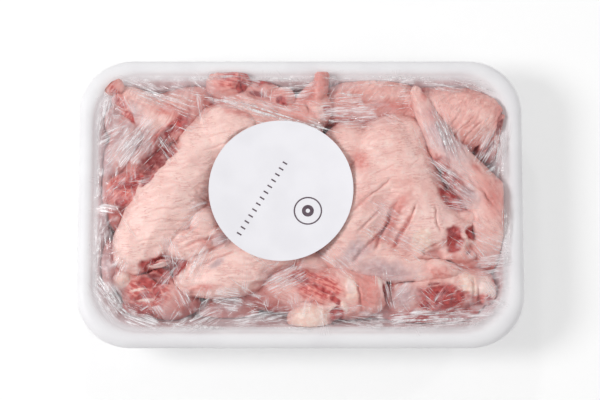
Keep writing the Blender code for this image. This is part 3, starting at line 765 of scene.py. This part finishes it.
# The label lies on a gently curved plate, which is read from the CAD label. Sizes are in mm.
labelLow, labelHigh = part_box("label")
label = {
    "x": (labelLow.x + labelHigh.x) / 2 / mm, "y": (labelLow.y + labelHigh.y) / 2 / mm,
    "radius": (labelHigh.x - labelLow.x) / 2 / mm,
    "thickness": 0.25, "rings": 16, "sides": 120,
    "bars": 13, "barTurn": 58, "barLength": 2.6, "barWidth": 0.75, "barPitch": 3.6, "barOff": (-9.5, -4.5),
    "ringOff": (13.5, -11.0), "printRings": ((6.8, 0.7), (2.04, 1.904)), "inkRise": 0.05,
}


def fitPlate():
    points = pointsOf(bpy.data.objects["label"].data) / mm
    x, y, z = points.T
    terms = np.stack([np.ones_like(x), x, y, x * x, x * y, y * y], axis=1)
    return np.linalg.lstsq(terms, z, rcond=None)[0]


plate = fitPlate()   # the middle of the label's thickness


def plateHeight(x, y):
    return plate[0] + plate[1] * x + plate[2] * y + plate[3] * x * x + plate[4] * x * y + plate[5] * y * y


def makePaper():
    material, maker, shader = newMaterial("paper")
    place = maker.node("ShaderNodeTexCoord", None, None, out=3)
    cloud = maker.noise(place, 18 * mm)
    setShader(maker, shader, {
        "Base Color": maker.mix((0.87, 0.86, 0.90), (0.83, 0.82, 0.86), cloud.rise(0.35, 0.7)),
        "Roughness": 0.38 + maker.noise(place, 4 * mm) * 0.14,
        "Normal": maker.bump(maker.noise(place, 1.2 * mm) + cloud * 2.0, 0.10, 0.4 * mm),
    })
    return material


def makeInk():
    material, maker, shader = newMaterial("ink")
    place = maker.node("ShaderNodeTexCoord", None, None, out=3)
    worn = maker.noise(place, 2 * mm).rise(0.3, 0.7)
    setShader(maker, shader, {
        "Base Color": maker.mix((0.085, 0.055, 0.075), (0.13, 0.09, 0.115), worn),
        "Roughness": 0.45,
    })
    return material


def onPlate(x, y, rise):
    return np.stack([x, y, plateHeight(x, y) + rise], axis=1) * mm


def makeLabel():
    rings, sides = label["rings"], label["sides"]
    angle = np.arange(sides) * 2 * math.pi / sides
    points = [onPlate(np.array([label["x"]]), np.array([label["y"]]), 0.0)]
    for i in range(1, rings + 1):
        share = i / rings * label["radius"]
        points.append(onPlate(label["x"] + share * np.cos(angle), label["y"] + share * np.sin(angle), 0.0))
    faces = [(0, 1 + i, 1 + (i + 1) % sides) for i in range(sides)]
    for ring in range(rings - 1):
        for i in range(sides):
            a, b = 1 + ring * sides + i, 1 + ring * sides + (i + 1) % sides
            faces.append((a, a + sides, b + sides, b))
    disc = addPiece("paperLabel", np.concatenate(points), faces)
    disc.data.materials.append(makePaper())
    solid = disc.modifiers.new("thickness", "SOLIDIFY")
    solid.thickness = label["thickness"] * mm
    solid.offset = 0.0
    settle(disc)
    handOver(disc, "label", "label")
    disc.data.set_sharp_from_angle(angle=math.radians(50))
    return disc


def inkShape(outline, top):   # a thin strip of print through matching left and right edges
    left, right = outline
    points = np.concatenate([onPlate(left[:, 0], left[:, 1], top), onPlate(right[:, 0], right[:, 1], top)])
    count = len(left)
    faces = [(i, count + i, count + i + 1, i + 1) for i in range(count - 1)]
    return points, faces


def makePrint():
    top = label["thickness"] / 2 + label["inkRise"]
    shapes = []
    turn = math.radians(label["barTurn"])
    along, across = np.array([math.cos(turn), math.sin(turn)]), np.array([-math.sin(turn), math.cos(turn)])
    middle = np.array([label["x"] + label["barOff"][0], label["y"] + label["barOff"][1]])
    for i in range(label["bars"]):
        centre = middle + along * label["barPitch"] * (i - (label["bars"] - 1) / 2)
        half = across * label["barLength"] / 2
        ends = np.array([centre - half, centre, centre + half])
        side = along * label["barWidth"] / 2
        shapes.append(inkShape((ends + side, ends - side), top))
    centre = np.array([label["x"] + label["ringOff"][0], label["y"] + label["ringOff"][1]])
    for radius, width in label["printRings"]:
        angle = np.linspace(0, 2 * math.pi, 61)
        way = np.stack([np.cos(angle), np.sin(angle)], axis=1)
        inner, outer = centre + way * (radius - width / 2), centre + way * (radius + width / 2)
        shapes.append(inkShape((inner, outer), top))
    points, faces, start = [], [], 0
    for shapePoints, shapeFaces in shapes:
        points.append(shapePoints)
        faces += [tuple(start + index for index in face) for face in shapeFaces]
        start += len(shapePoints)
    marks = addPiece("labelPrint", np.concatenate(points), faces)
    bm = bmesh.new()
    bm.from_mesh(marks.data)
    bmesh.ops.remove_doubles(bm, verts=bm.verts, dist=1e-6)
    for face in bm.faces:
        face.normal_update()
        if face.normal.z < 0:
            face.normal_flip()
    bm.to_mesh(marks.data)
    bm.free()
    marks.data.materials.append(makeInk())
    handOver(marks, "label")
    return marks


film = {
    "step": 0.9,          # of its mesh, in mm
    "rimInset": 5.5,      # where the film meets the top of the rim
    "clearance": 0.22,    # over the meat
    "tightening": 2600,   # rounds of pulling tight
    "underReach": 26.0,   # how far it is tucked under the base
    "crinkle": 0.7, "pleat": 0.9,
    "gapBlur": 14, "loosePulls": 90, "seed": 11,
}

# Where the film is pulled into streaks: x, y, direction in degrees, half length, half width, strength.
pulls = [
    (-76, 57.5, -20, 22, 9, 0.8), (-99, 47, 75, 14, 5, 0.8), (-95.5, 34, 25, 9, 6, 0.7),
    (-85, 29, 52, 16, 10, 1), (-73, 36, 48, 11, 5, 0.5), (-30.5, 63.5, -8, 22, 5, 0.7),
    (-15.5, 46, -17, 32, 6, 1), (-0.5, 56.5, 5, 14, 8, 0.8), (22.5, 46, 3, 20, 9, 0.9),
    (42.5, 61.5, 6, 22, 5, 0.7), (15, 65, 0, 20, 4, 0.6), (73.5, 33.5, -68, 20, 10, 1),
    (78, 12, -35, 16, 9, 0.9), (81.5, 31.5, 52, 12, 6, 0.6), (93.5, 26.5, 62, 12, 5, 0.8),
    (102.5, 26.5, 78, 16, 4, 0.8), (70.5, 61.5, -10, 14, 5, 0.6), (96, -20, -20, 10, 8, 0.8),
    (97, -31.5, 10, 9, 7, 0.8), (85.5, -25, -50, 8, 5, 0.6), (60.5, -60.5, 4, 30, 5, 1),
    (37.5, -61.5, -5, 14, 5, 0.9), (78, -51, 22, 16, 6, 0.25), (-18, -59, 8, 16, 5, 0.9),
    (-48.5, -60.5, 25, 12, 5, 0.8), (-58.5, -51, -60, 10, 5, 0.8), (-96.5, -51, -55, 14, 8, 0.8),
    (-81, -60.5, -20, 14, 5, 0.8), (-104, -20, 85, 16, 5, 0.7), (-101.5, 6, 80, 16, 4, 0.6),
    (-8, -40.5, 25, 14, 8, 0.9), (-33, -51, -10, 14, 8, 0.7), (-51, -31.5, 62, 12, 7, 0.8),
    (-43, -22.5, 25, 12, 7, 0.5), (20, -31.5, -42, 10, 6, 0.8), (5, -35.5, 10, 10, 5, 0.5),
    (-41.5, -3.5, -8, 12, 12, 0.5), (-91.5, -33, 70, 10, 6, 0.6),
]


def filmSide():   # its section from the top of the rim outwards: distance along it, inset and height
    top, path = tray["top"] + 0.5, []
    for i in range(12):
        angle = math.radians(90 - 10.5 * i)
        path.append((film["rimInset"] - 6.05 * math.cos(angle), top - 4.0 + 4.0 * math.sin(angle)))
    path += [(1.0, 23.3), (17.6, 1.6), (18.6, 0.6), (20.4, 0.16), (20.4 + film["underReach"], 0.12)]
    path = np.array(path)
    along = np.concatenate([[0], np.cumsum(np.hypot(*np.diff(path, axis=0).T))])
    return along, path[:, 0], path[:, 1]


def meatHeights(trees, x, y, inside):
    heights = np.zeros(x.shape)
    for j, i in zip(*np.nonzero(inside)):
        top = topAt(trees, x[j, i], y[j, i])
        if top is not None:
            heights[j, i] = top
    return heights


def pulledTight(obstacle, held, rounds):
    sheet = np.maximum(obstacle, tray["top"] + 0.5)
    for _ in range(rounds):
        mean = sheet.copy()
        mean[1:-1, 1:-1] = (sheet[:-2, 1:-1] + sheet[2:, 1:-1] + sheet[1:-1, :-2] + sheet[1:-1, 2:]) / 4
        sheet = np.where(held, obstacle, np.maximum(mean, obstacle))
    return sheet


# For each place: how far along and across its strongest pull, the pull's turn, and how strong it is.
def pullFields(x, y, gap, onLabel):
    random = np.random.default_rng(film["seed"])
    zones = list(pulls)
    spots = np.argwhere((gap > 2) & ~onLabel)
    for row, col in spots[random.integers(0, len(spots), film["loosePulls"])]:
        out = math.degrees(math.atan2(y[row, col], x[row, col] * 0.6))
        turn = out + random.normal(0, 25) + (90 if random.random() < 0.2 else 0)
        zones.append((x[row, col], y[row, col], turn, random.uniform(7, 16), random.uniform(2, 5), 0.6))
    first, second = np.zeros(x.shape), np.zeros(x.shape)
    alongAll, acrossAll, turnAll = np.zeros(x.shape), np.zeros(x.shape), np.zeros(x.shape)
    for number, (zoneX, zoneY, turn, length, width, strength) in enumerate(zones):
        along, across = turned(x - zoneX, y - zoneY, turn)
        window = strength * np.exp(-0.8 * ((along / length) ** 2 + (across / width) ** 2))
        best = window > first
        second = np.where(best, first, np.maximum(second, window))
        alongAll = np.where(best, along + 61.7 * number, alongAll)
        acrossAll = np.where(best, across + 43.3 * number, acrossAll)
        turnAll = np.where(best, turn, turnAll)
        first = np.maximum(first, window)
    strength = first * smooth(first - second, 0.02, 0.22)
    return alongAll, acrossAll, turnAll, smooth(strength, 0.05, 0.75)


def makeFilmMesh(made):
    along, insets, heights = filmSide()
    reach = along[-1]
    halfX = tray["halfLength"] - film["rimInset"] + reach
    halfY = tray["halfWidth"] - film["rimInset"] + reach
    countX, countY = int(2 * halfX / film["step"]), int(2 * halfY / film["step"])
    x, y = np.meshgrid(np.linspace(-halfX, halfX, countX), np.linspace(-halfY, halfY, countY))
    coreX, coreY, outX, outY, distance = outlineParts(x, y, film["rimInset"])
    inside = distance < -0.3
    trees = [treeOf(wing.data) for wing in made]
    meat = meatHeights(trees, x, y, inside)
    onLabel = np.hypot(x - label["x"], y - label["y"]) < label["radius"] + 1.2
    rimTop = tray["top"] + 0.5
    obstacle = np.where(inside, meat + film["clearance"], rimTop)
    obstacle = np.where(onLabel, plateHeight(x, y) - label["thickness"] / 2 - 0.15, obstacle)
    rows, cols = np.nonzero(inside.any(axis=1))[0], np.nonzero(inside.any(axis=0))[0]
    window = np.s_[rows[0] - 1:rows[-1] + 2, cols[0] - 1:cols[-1] + 2]
    sheet = np.full(x.shape, rimTop)
    sheet[window] = pulledTight(obstacle[window], (~inside | onLabel)[window], film["tightening"])
    storeShadeDepth(made, x, y, sheet)
    bowl = [(30.2, film["rimInset"]), (29.4, 8.4)] + [(z, inset) for inset, z in reversed(innerWall)]
    foam = np.interp(film["rimInset"] - distance, [inset for _z, inset in bowl], [z for z, _inset in bowl])
    gap = np.where(inside & ~onLabel, sheet - np.maximum(meat, foam), 0)
    for _ in range(film["gapBlur"]):   # narrow clefts do not count as gaps
        gap[1:-1, 1:-1] = (gap[:-2, 1:-1] + gap[2:, 1:-1] + gap[1:-1, :-2] + gap[1:-1, 2:]) / 4
    gap = np.maximum(gap * smooth(-distance, 1.0, 5.0) - 0.6, 0)
    pullAlong, pullAcross, pullTurn, pull = pullFields(x, y, gap, onLabel)
    # Folds run along the pull and stand up only where the film spans a gap.
    laid = np.stack([0.13 * pullAlong.ravel(), pullAcross.ravel(), np.zeros(x.size)], axis=1)
    flat = np.stack([x.ravel(), y.ravel(), np.zeros(x.size)], axis=1)
    fold = smooth(1 - np.abs(lumpy(laid, 2.6, film["seed"])), 0.70, 1.0).reshape(x.shape) * pull
    ruck = smooth(1 - np.abs(lumpy(flat, 7.0, film["seed"] + 3)), 0.82, 1.0).reshape(x.shape) * (1 - pull)
    free = smooth(gap, 0.3, 3.0) * smooth(-distance, 0.5, 5.0)
    crinkle = fold + 0.5 * ruck
    sheet = sheet + film["crinkle"] * free * crinkle
    nearRim = smooth(-distance, 0.0, 2.0) * (1 - smooth(-distance, 6, 13))
    # Off the rim, the same sheet runs over the lip, down the wall and under the base.
    down = np.clip(distance, 0, reach)
    inset = np.interp(down, along, insets)
    z = np.interp(down, along, heights)
    rimRadius = tray["corner"] - tray["cornerTaper"] * film["rimInset"]
    radius = np.maximum(tray["corner"] - tray["cornerTaper"] * inset, 1)
    scaleX = (tray["halfLength"] - inset - radius) / (tray["halfLength"] - film["rimInset"] - rimRadius)
    scaleY = (tray["halfWidth"] - inset - radius) / (tray["halfWidth"] - film["rimInset"] - rimRadius)
    turn = np.arctan2(outY, outX)
    isCorner = np.minimum(np.abs(np.sin(turn)), np.abs(np.cos(turn)))
    ring = np.stack([turn.ravel() * 30, (coreX + coreY).ravel() * 0.35, down.ravel() * 0.16], axis=1)
    folds = np.abs(lumpy(ring, 2.2, film["seed"] + 5)).reshape(x.shape)
    pleat = film["pleat"] * smooth(down, 9, 20) * (1 - smooth(down, reach - 26, reach - 22))
    pleat = pleat * (0.25 + smooth(isCorner, 0.0, 0.5)) * folds
    sideX = coreX * scaleX + outX * (radius + pleat)
    sideY = coreY * scaleY + outY * (radius + pleat)
    outside = distance > 0
    px, py = np.where(outside, sideX, x), np.where(outside, sideY, y)
    pz = np.where(outside, z, sheet)
    points = np.stack([px.ravel(), py.ravel(), pz.ravel()], axis=1)
    number = np.arange(x.size).reshape(x.shape)
    kept = distance < reach + film["step"]
    quadKept = kept[:-1, :-1] & kept[1:, :-1] & kept[:-1, 1:] & kept[1:, 1:]
    corners = np.stack([number[:-1, :-1], number[:-1, 1:], number[1:, 1:], number[1:, :-1]], axis=-1)
    corners = corners[quadKept]
    used = np.unique(corners)
    renumber = np.full(x.size, -1)
    renumber[used] = np.arange(len(used))
    piece = addPiece("stretchFilm", points[used] * mm, renumber[corners].tolist())
    fields = {
        "gap": smooth(gap, 0.4, 6.0), "crinkle": free * crinkle, "rim": nearRim * (distance < 0),
        "side": smooth(down, 4, 10), "margin": 1 - smooth(-distance, 6, 24),
        "pull": pull * (distance < 0), "along": pullAlong, "across": pullAcross, "turn": pullTurn}
    for name, values in fields.items():
        addField(piece.data, name, values.ravel()[used])
    return piece


def storeShadeDepth(made, x, y, sheet):   # store how far each spot of the meat lies under the film, as the mask for painted shade
    for wing in made:
        points = pointsOf(wing.data) / mm
        col = np.clip((points[:, 0] - x[0, 0]) / (x[0, 1] - x[0, 0]), 0, x.shape[1] - 1.001)
        row = np.clip((points[:, 1] - y[0, 0]) / (y[1, 0] - y[0, 0]), 0, x.shape[0] - 1.001)
        i, j = col.astype(int), row.astype(int)
        s, t = col - i, row - j
        above = sheet[j, i] * (1 - s) * (1 - t) + sheet[j, i + 1] * s * (1 - t)
        above += sheet[j + 1, i] * (1 - s) * t + sheet[j + 1, i + 1] * s * t
        addField(wing.data, "shadeDepth", smooth(above - points[:, 2], 2.0, 12.0))


def makeFilmFinish():
    material, maker, shader = newMaterial("clearFilm")
    place = maker.node("ShaderNodeTexCoord", None, None, out=3)
    names = ("gap", "crinkle", "rim", "side", "pull", "along", "across", "margin")
    field = {name: maker.field(name) for name in names}
    laid = maker.node("ShaderNodeCombineXYZ", None, {0: field["along"] * 0.07, 1: field["across"]})
    wide = maker.node("ShaderNodeTexNoise", None, {"Vector": laid, "Scale": 0.55, "Detail": 2.0})
    thin = maker.node("ShaderNodeTexNoise", None, {"Vector": laid, "Scale": 1.5, "Detail": 1.0})
    hair = maker.node("ShaderNodeTexNoise", None, {"Vector": laid, "Scale": 3.4, "Detail": 1.0})
    # Painted highlights: the streaks along the pulls are whitened and made less clear, standing in for
    # glints on the stretch lines, besides the real bump.
    glintStreak = wide.rise(0.50, 0.68) * 0.40 + thin.rise(0.53, 0.60) * 0.6 + hair.rise(0.56, 0.62) * 0.5
    cloud = maker.noise(place, 8 * mm, 2.0).rise(0.42, 0.66)
    gap, pull, side = field["gap"], field["pull"], field["side"]
    lines = glintStreak * pull * (0.26 + gap * 0.30) + field["crinkle"] * 0.22
    # Painted sheen and painted shade: where the film spans a gap it gets a mottled pinkish-grey cover,
    # strongest near the walls, standing in for its reflection and for the shade there.
    sheenShadeHaze = 0.01 + gap * (0.01 + (0.04 + cloud * 0.26) * field["margin"]) + field["rim"] * 0.05
    cover = lines + sheenShadeHaze + side * (0.05 + maker.noise(place, 3 * mm).rise(0.5, 0.7) * 0.08)
    setShader(maker, shader, {
        "Base Color": maker.mix((0.72, 0.58, 0.61), (0.96, 0.94, 0.96), (lines * 4.0).most(side)),
        "Roughness": 0.12 + cloud * 0.10, "IOR": 1.5, "Specular IOR Level": 0.7,
        "Normal": maker.bump((wide + thin * 0.5) * pull, 0.6, 0.6 * mm),
    })
    clear = maker.node("ShaderNodeBsdfTransparent")
    output = material.node_tree.nodes["Material Output"]
    mixed = maker.node("ShaderNodeMixShader", None, {0: cover, 1: clear, 2: Wire(maker, shader.outputs[0])})
    maker.plug(output.inputs["Surface"], mixed)
    return material


# Fans of fine stretch lines: from place, to place (mm from the pack's middle), count, spread at each end.
creaseFans = [
    (-46, 53.5, 19, 34, 26, 3.2, 1.4), (-61, -47, -44.5, -16, 9, 1.4, 2.2),
    (-19.5, -47, -0.5, -36, 16, 5, 5), (-39, -37, -19.5, -51.5, 5, 1.2, 1.2),
    (-29, -51.5, -38.5, -60.5, 5, 1, 5), (-29, -51.5, -14.5, -61.5, 5, 1, 5),
    (11, -27.5, 31, -45, 5, 1, 1.6), (50.5, -53.5, 67.5, -42.5, 3, 0.6, 0.8),
    (64.5, -59.5, 82.5, -52.5, 3, 0.6, 0.8), (84.5, -19, 96, -32.5, 5, 1.2, 2),
    (11, 54, 36, 56, 8, 3, 4), (9, 43, 31, 40.5, 10, 4, 3), (68.5, 48, 79.5, 18, 34, 5, 6),
    (66.5, 18, 85.5, 2.5, 14, 2.5, 5), (36, -62.5, 92, -60.5, 22, 2.2, 3),
    (15, -60.5, 36, -64.5, 8, 2, 3), (-104.5, 49, -93.5, 59.5, 10, 3, 5),
    (-97.5, 31.5, -85, 40.5, 12, 4, 5), (-90, 23, -75, 43, 18, 5, 6), (-76, 21, -65, 36.5, 5, 3, 4),
    (-91.5, 60.5, -56, 46, 20, 3, 6), (-61, 56, -30.5, 50, 10, 4, 3), (-76, 64.5, -25.5, 64, 12, 2, 2.5),
    (-28, 64, 15, 62.5, 10, 2, 3), (25, 64.5, 70.5, 64, 12, 2, 2.5),
    (46.5, 60.5, 58.5, 58.5, 3, 0.3, 0.6), (70.5, 65, 97, 56, 12, 2, 3), (101, 42, 97, 16, 14, 2.5, 3),
    (83.5, 26, 96, 40.5, 9, 2.5, 3), (103.5, 5.5, 104, -41, 10, 2, 2), (93, -31.5, 103, -27.5, 8, 2, 3),
    (90.5, -51.5, 104, -41, 10, 3, 3), (101, -49, 85.5, -64, 9, 2, 3),
    (-101.5, 46, -102, 10.5, 10, 2, 2), (-101.5, -5, -102, -44, 10, 2, 2.5),
    (-101.5, -43.5, -81, -62.5, 18, 3, 5), (-103.5, -35, -88, -58.5, 12, 3, 3),
    (-76, -62.5, -35.5, -66, 12, 2, 2), (-56, -56.5, -34.5, -49, 8, 1.5, 3),
    (-25.5, -64.5, 15, -64.5, 10, 2, 2), (-76, -28, -56, -31.5, 4, 1, 2),
    (-95.5, 0.5, -76, -31.5, 3, 1, 1), (-32.5, -20.5, -7.5, -42, 4, 1, 1.5),
    (40, 59.5, 58.5, 59.5, 2, 0.4, 0.4),
]
creases = {"radius": 0.11, "loose": 760, "shortest": 2.0, "longest": 10.0, "step": 1.2, "seed": 23}


def threadTree():   # a thread along every edge of the given mesh, thinning out at its ends
    tree, maker, given = newTree("thread", {
        "Radius": ("Float", 0.0001), "Sides": ("Int", 5), "Material": ("Material", None)})
    curves = maker.node("GeometryNodeMeshToCurve", None, {0: given["Geometry"]})
    share = maker.node("GeometryNodeSplineParameter")
    taper = 1 - (share * 2.0 - 1).size().calc("POWER", 3.0)
    width = maker.node("GeometryNodeInputNamedAttribute", None, {"Name": "width"})
    profile = maker.node("GeometryNodeCurvePrimitiveCircle", None,
                         {"Resolution": given["Sides"], "Radius": given["Radius"]})
    scale = taper.most(0.12) * width
    body = maker.node("GeometryNodeCurveToMesh", None, {
        "Curve": curves, "Profile Curve": profile, "Scale": scale, "Fill Caps": True})
    endTree(maker, body, given["Material"])
    return tree


def drapedLines(lines, trees, rise):   # polylines laid on a surface, as one mesh of edges
    points, edges, widths = [], [], []
    for x1, y1, x2, y2, bend, width in lines:
        length = math.hypot(x2 - x1, y2 - y1)
        count = max(3, int(length / creases["step"]))
        start = len(points)
        for i in range(count + 1):
            t = i / count
            side = bend * math.sin(math.pi * t)
            x = x1 + (x2 - x1) * t - (y2 - y1) / length * side
            y = y1 + (y2 - y1) * t + (x2 - x1) / length * side
            top = topAt(trees, x, y)
            if top is None:
                break
            points.append((x * mm, y * mm, (top + rise) * mm))
            widths.append(width)
            if len(points) - start > 1:
                edges.append((len(points) - 2, len(points) - 1))
    return points, edges, widths


def makeCreases(filmPiece, finish):
    random = np.random.default_rng(creases["seed"])
    lines = []
    for x1, y1, x2, y2, count, spread1, spread2 in creaseFans:
        length = math.hypot(x2 - x1, y2 - y1)
        acrossX, acrossY = -(y2 - y1) / length, (x2 - x1) / length
        for _ in range(count):
            off1, off2 = random.normal(0, 0.5, 2)
            off2 = 0.6 * off1 + 0.4 * off2
            low, high = sorted(random.uniform(0, 1, 2))
            high = max(high, low + 0.25)
            ends = []
            for t in (low, min(high, 1.1)):
                side = off1 * spread1 * (1 - t) + off2 * spread2 * t
                ends += [x1 + (x2 - x1) * t + acrossX * side, y1 + (y2 - y1) * t + acrossY * side]
            lines.append((*ends, random.normal(0, 0.35), random.uniform(0.5, 1.5)))
    mesh = filmPiece.data
    points = pointsOf(mesh) / mm
    gap = np.empty(len(points), dtype=np.float32)
    mesh.attributes["gap"].data.foreach_get("value", gap)
    turn = np.empty(len(points), dtype=np.float32)
    mesh.attributes["turn"].data.foreach_get("value", turn)
    chosen = random.choice(np.nonzero(gap > 0.2)[0], creases["loose"])
    for index in chosen:
        x, y = points[index, :2] + random.normal(0, 0.5, 2)
        heading = math.radians(turn[index]) + random.normal(0, 0.14)
        length = random.uniform(creases["shortest"], creases["longest"])
        dx, dy = math.cos(heading) * length / 2, math.sin(heading) * length / 2
        lines.append((x - dx, y - dy, x + dx, y + dy, random.normal(0, 0.5), random.uniform(0.4, 1.2)))
    linePoints, edges, widths = drapedLines(lines, [treeOf(mesh)], 0.02)
    piece = addPiece("filmCreases", linePoints, [], edges)
    addField(piece.data, "width", widths)
    grow(piece, threadTree(), {"Radius": creases["radius"] * mm, "Sides": 5, "Material": finish})
    piece.name = "filmCreases"
    handOver(piece, "film")
    return piece


def makeCreaseFinish():
    material, maker, shader = newMaterial("filmCrease")
    place = maker.node("ShaderNodeTexCoord", None, None, out=3)
    # Painted highlights: the threads are a whitish cover in broken dashes, standing in for glints on the
    # creases besides their real gloss.
    brokenGlint = maker.noise(place, 2.4 * mm, 2.0).rise(0.38, 0.62)
    setShader(maker, shader, {
        "Base Color": (0.95, 0.93, 0.94), "Roughness": 0.12, "IOR": 1.5, "Specular IOR Level": 0.9,
    })
    clear = maker.node("ShaderNodeBsdfTransparent")
    output = material.node_tree.nodes["Material Output"]
    mixed = maker.node("ShaderNodeMixShader", None, {
        0: 0.20 + brokenGlint * 0.75, 1: clear, 2: Wire(maker, shader.outputs[0])})
    maker.plug(output.inputs["Surface"], mixed)
    return material


studio = {
    "floorSize": 3.0, "floorLit": 0.80, "floorGlow": 1.45, "sky": 0.52,
    "key": {"at": (-1.15, -0.06, 1.08), "size": 0.60, "power": 12.8},
    "fill": {"at": (0.9, -0.5, 1.0), "size": 0.8, "power": 1.5},
    "glint": {"at": (-0.15, 0.95, 0.75), "size": 0.12, "power": 1.2},
    "glint2": {"at": (0.85, 0.35, 0.55), "size": 0.10, "power": 0.8},
    "elevation": 78.0, "distance": 1.5, "lens": 178.0, "lookAt": (-0.25, 1.0, 30.0),
}


def makeFloor():
    size = studio["floorSize"] / 2
    corners = [(-size, -size, 0), (size, -size, 0), (size, size, 0), (-size, size, 0)]
    floor = addPiece("floor", corners, [(0, 1, 2, 3)])
    material, maker, shader = newMaterial("studioFloor")
    setShader(maker, shader, {"Base Color": (0.9, 0.9, 0.9), "Roughness": 0.9, "Specular IOR Level": 0.1})
    glow = maker.node("ShaderNodeEmission", None, {"Color": (1, 1, 1), "Strength": studio["floorGlow"]})
    seen = maker.node("ShaderNodeLightPath")
    glossy = maker.node("ShaderNodeLightPath", None, None, out=3)
    mixed = maker.node("ShaderNodeMixShader", None, {
        0: seen.most(glossy) * (1 - studio["floorLit"]), 1: Wire(maker, shader.outputs[0]), 2: glow})
    maker.plug(material.node_tree.nodes["Material Output"].inputs["Surface"], mixed)
    floor.data.materials.append(material)
    floor.location.z = -0.0002


def makeLamp(name, facts):
    light = bpy.data.lights.new(name, "AREA")
    light.shape = "DISK"
    light.size = facts["size"]
    light.energy = facts["power"]
    lamp = bpy.data.objects.new(name, light)
    lamp.location = facts["at"]
    lamp.rotation_euler = (-Vector(facts["at"])).to_track_quat("-Z", "Y").to_euler()
    bpy.context.scene.collection.objects.link(lamp)


def makeStudio():
    makeFloor()
    for name in ("key", "fill", "glint", "glint2"):
        makeLamp(name, studio[name])
    world = bpy.data.worlds.new("studio")
    bpy.context.scene.world = world
    world.use_nodes = True
    maker = Maker(world.node_tree)
    back = world.node_tree.nodes["Background"]
    back.inputs["Color"].default_value = (1, 1, 1, 1)
    seen = maker.node("ShaderNodeLightPath")
    maker.plug(back.inputs["Strength"], seen * (1 - studio["sky"]) + studio["sky"])
    bpy.context.scene.view_settings.view_transform = "Standard"
    camera = bpy.data.cameras.new("camera")
    camera.lens = studio["lens"]
    eye = bpy.data.objects.new("camera", camera)
    bpy.context.scene.collection.objects.link(eye)
    tilt = math.radians(studio["elevation"])
    target = Vector(studio["lookAt"]) * mm
    eye.location = target + Vector((0, -math.cos(tilt), math.sin(tilt))) * studio["distance"]
    eye.rotation_euler = (math.pi / 2 - tilt, 0, 0)
    bpy.context.scene.camera = eye


makeStudio()
makeTray()
print("made the tray")
wingPieces = makeWings(makeMeat())
print("made the wings")
filmPiece = makeFilmMesh(wingPieces)
filmPiece.data.materials.append(makeFilmFinish())
handOver(filmPiece, "film", "film")
print("made the film", len(filmPiece.data.polygons))
makeCreases(filmPiece, makeCreaseFinish())
print("made the creases")
makeLabel()
makePrint()
print("made the label")
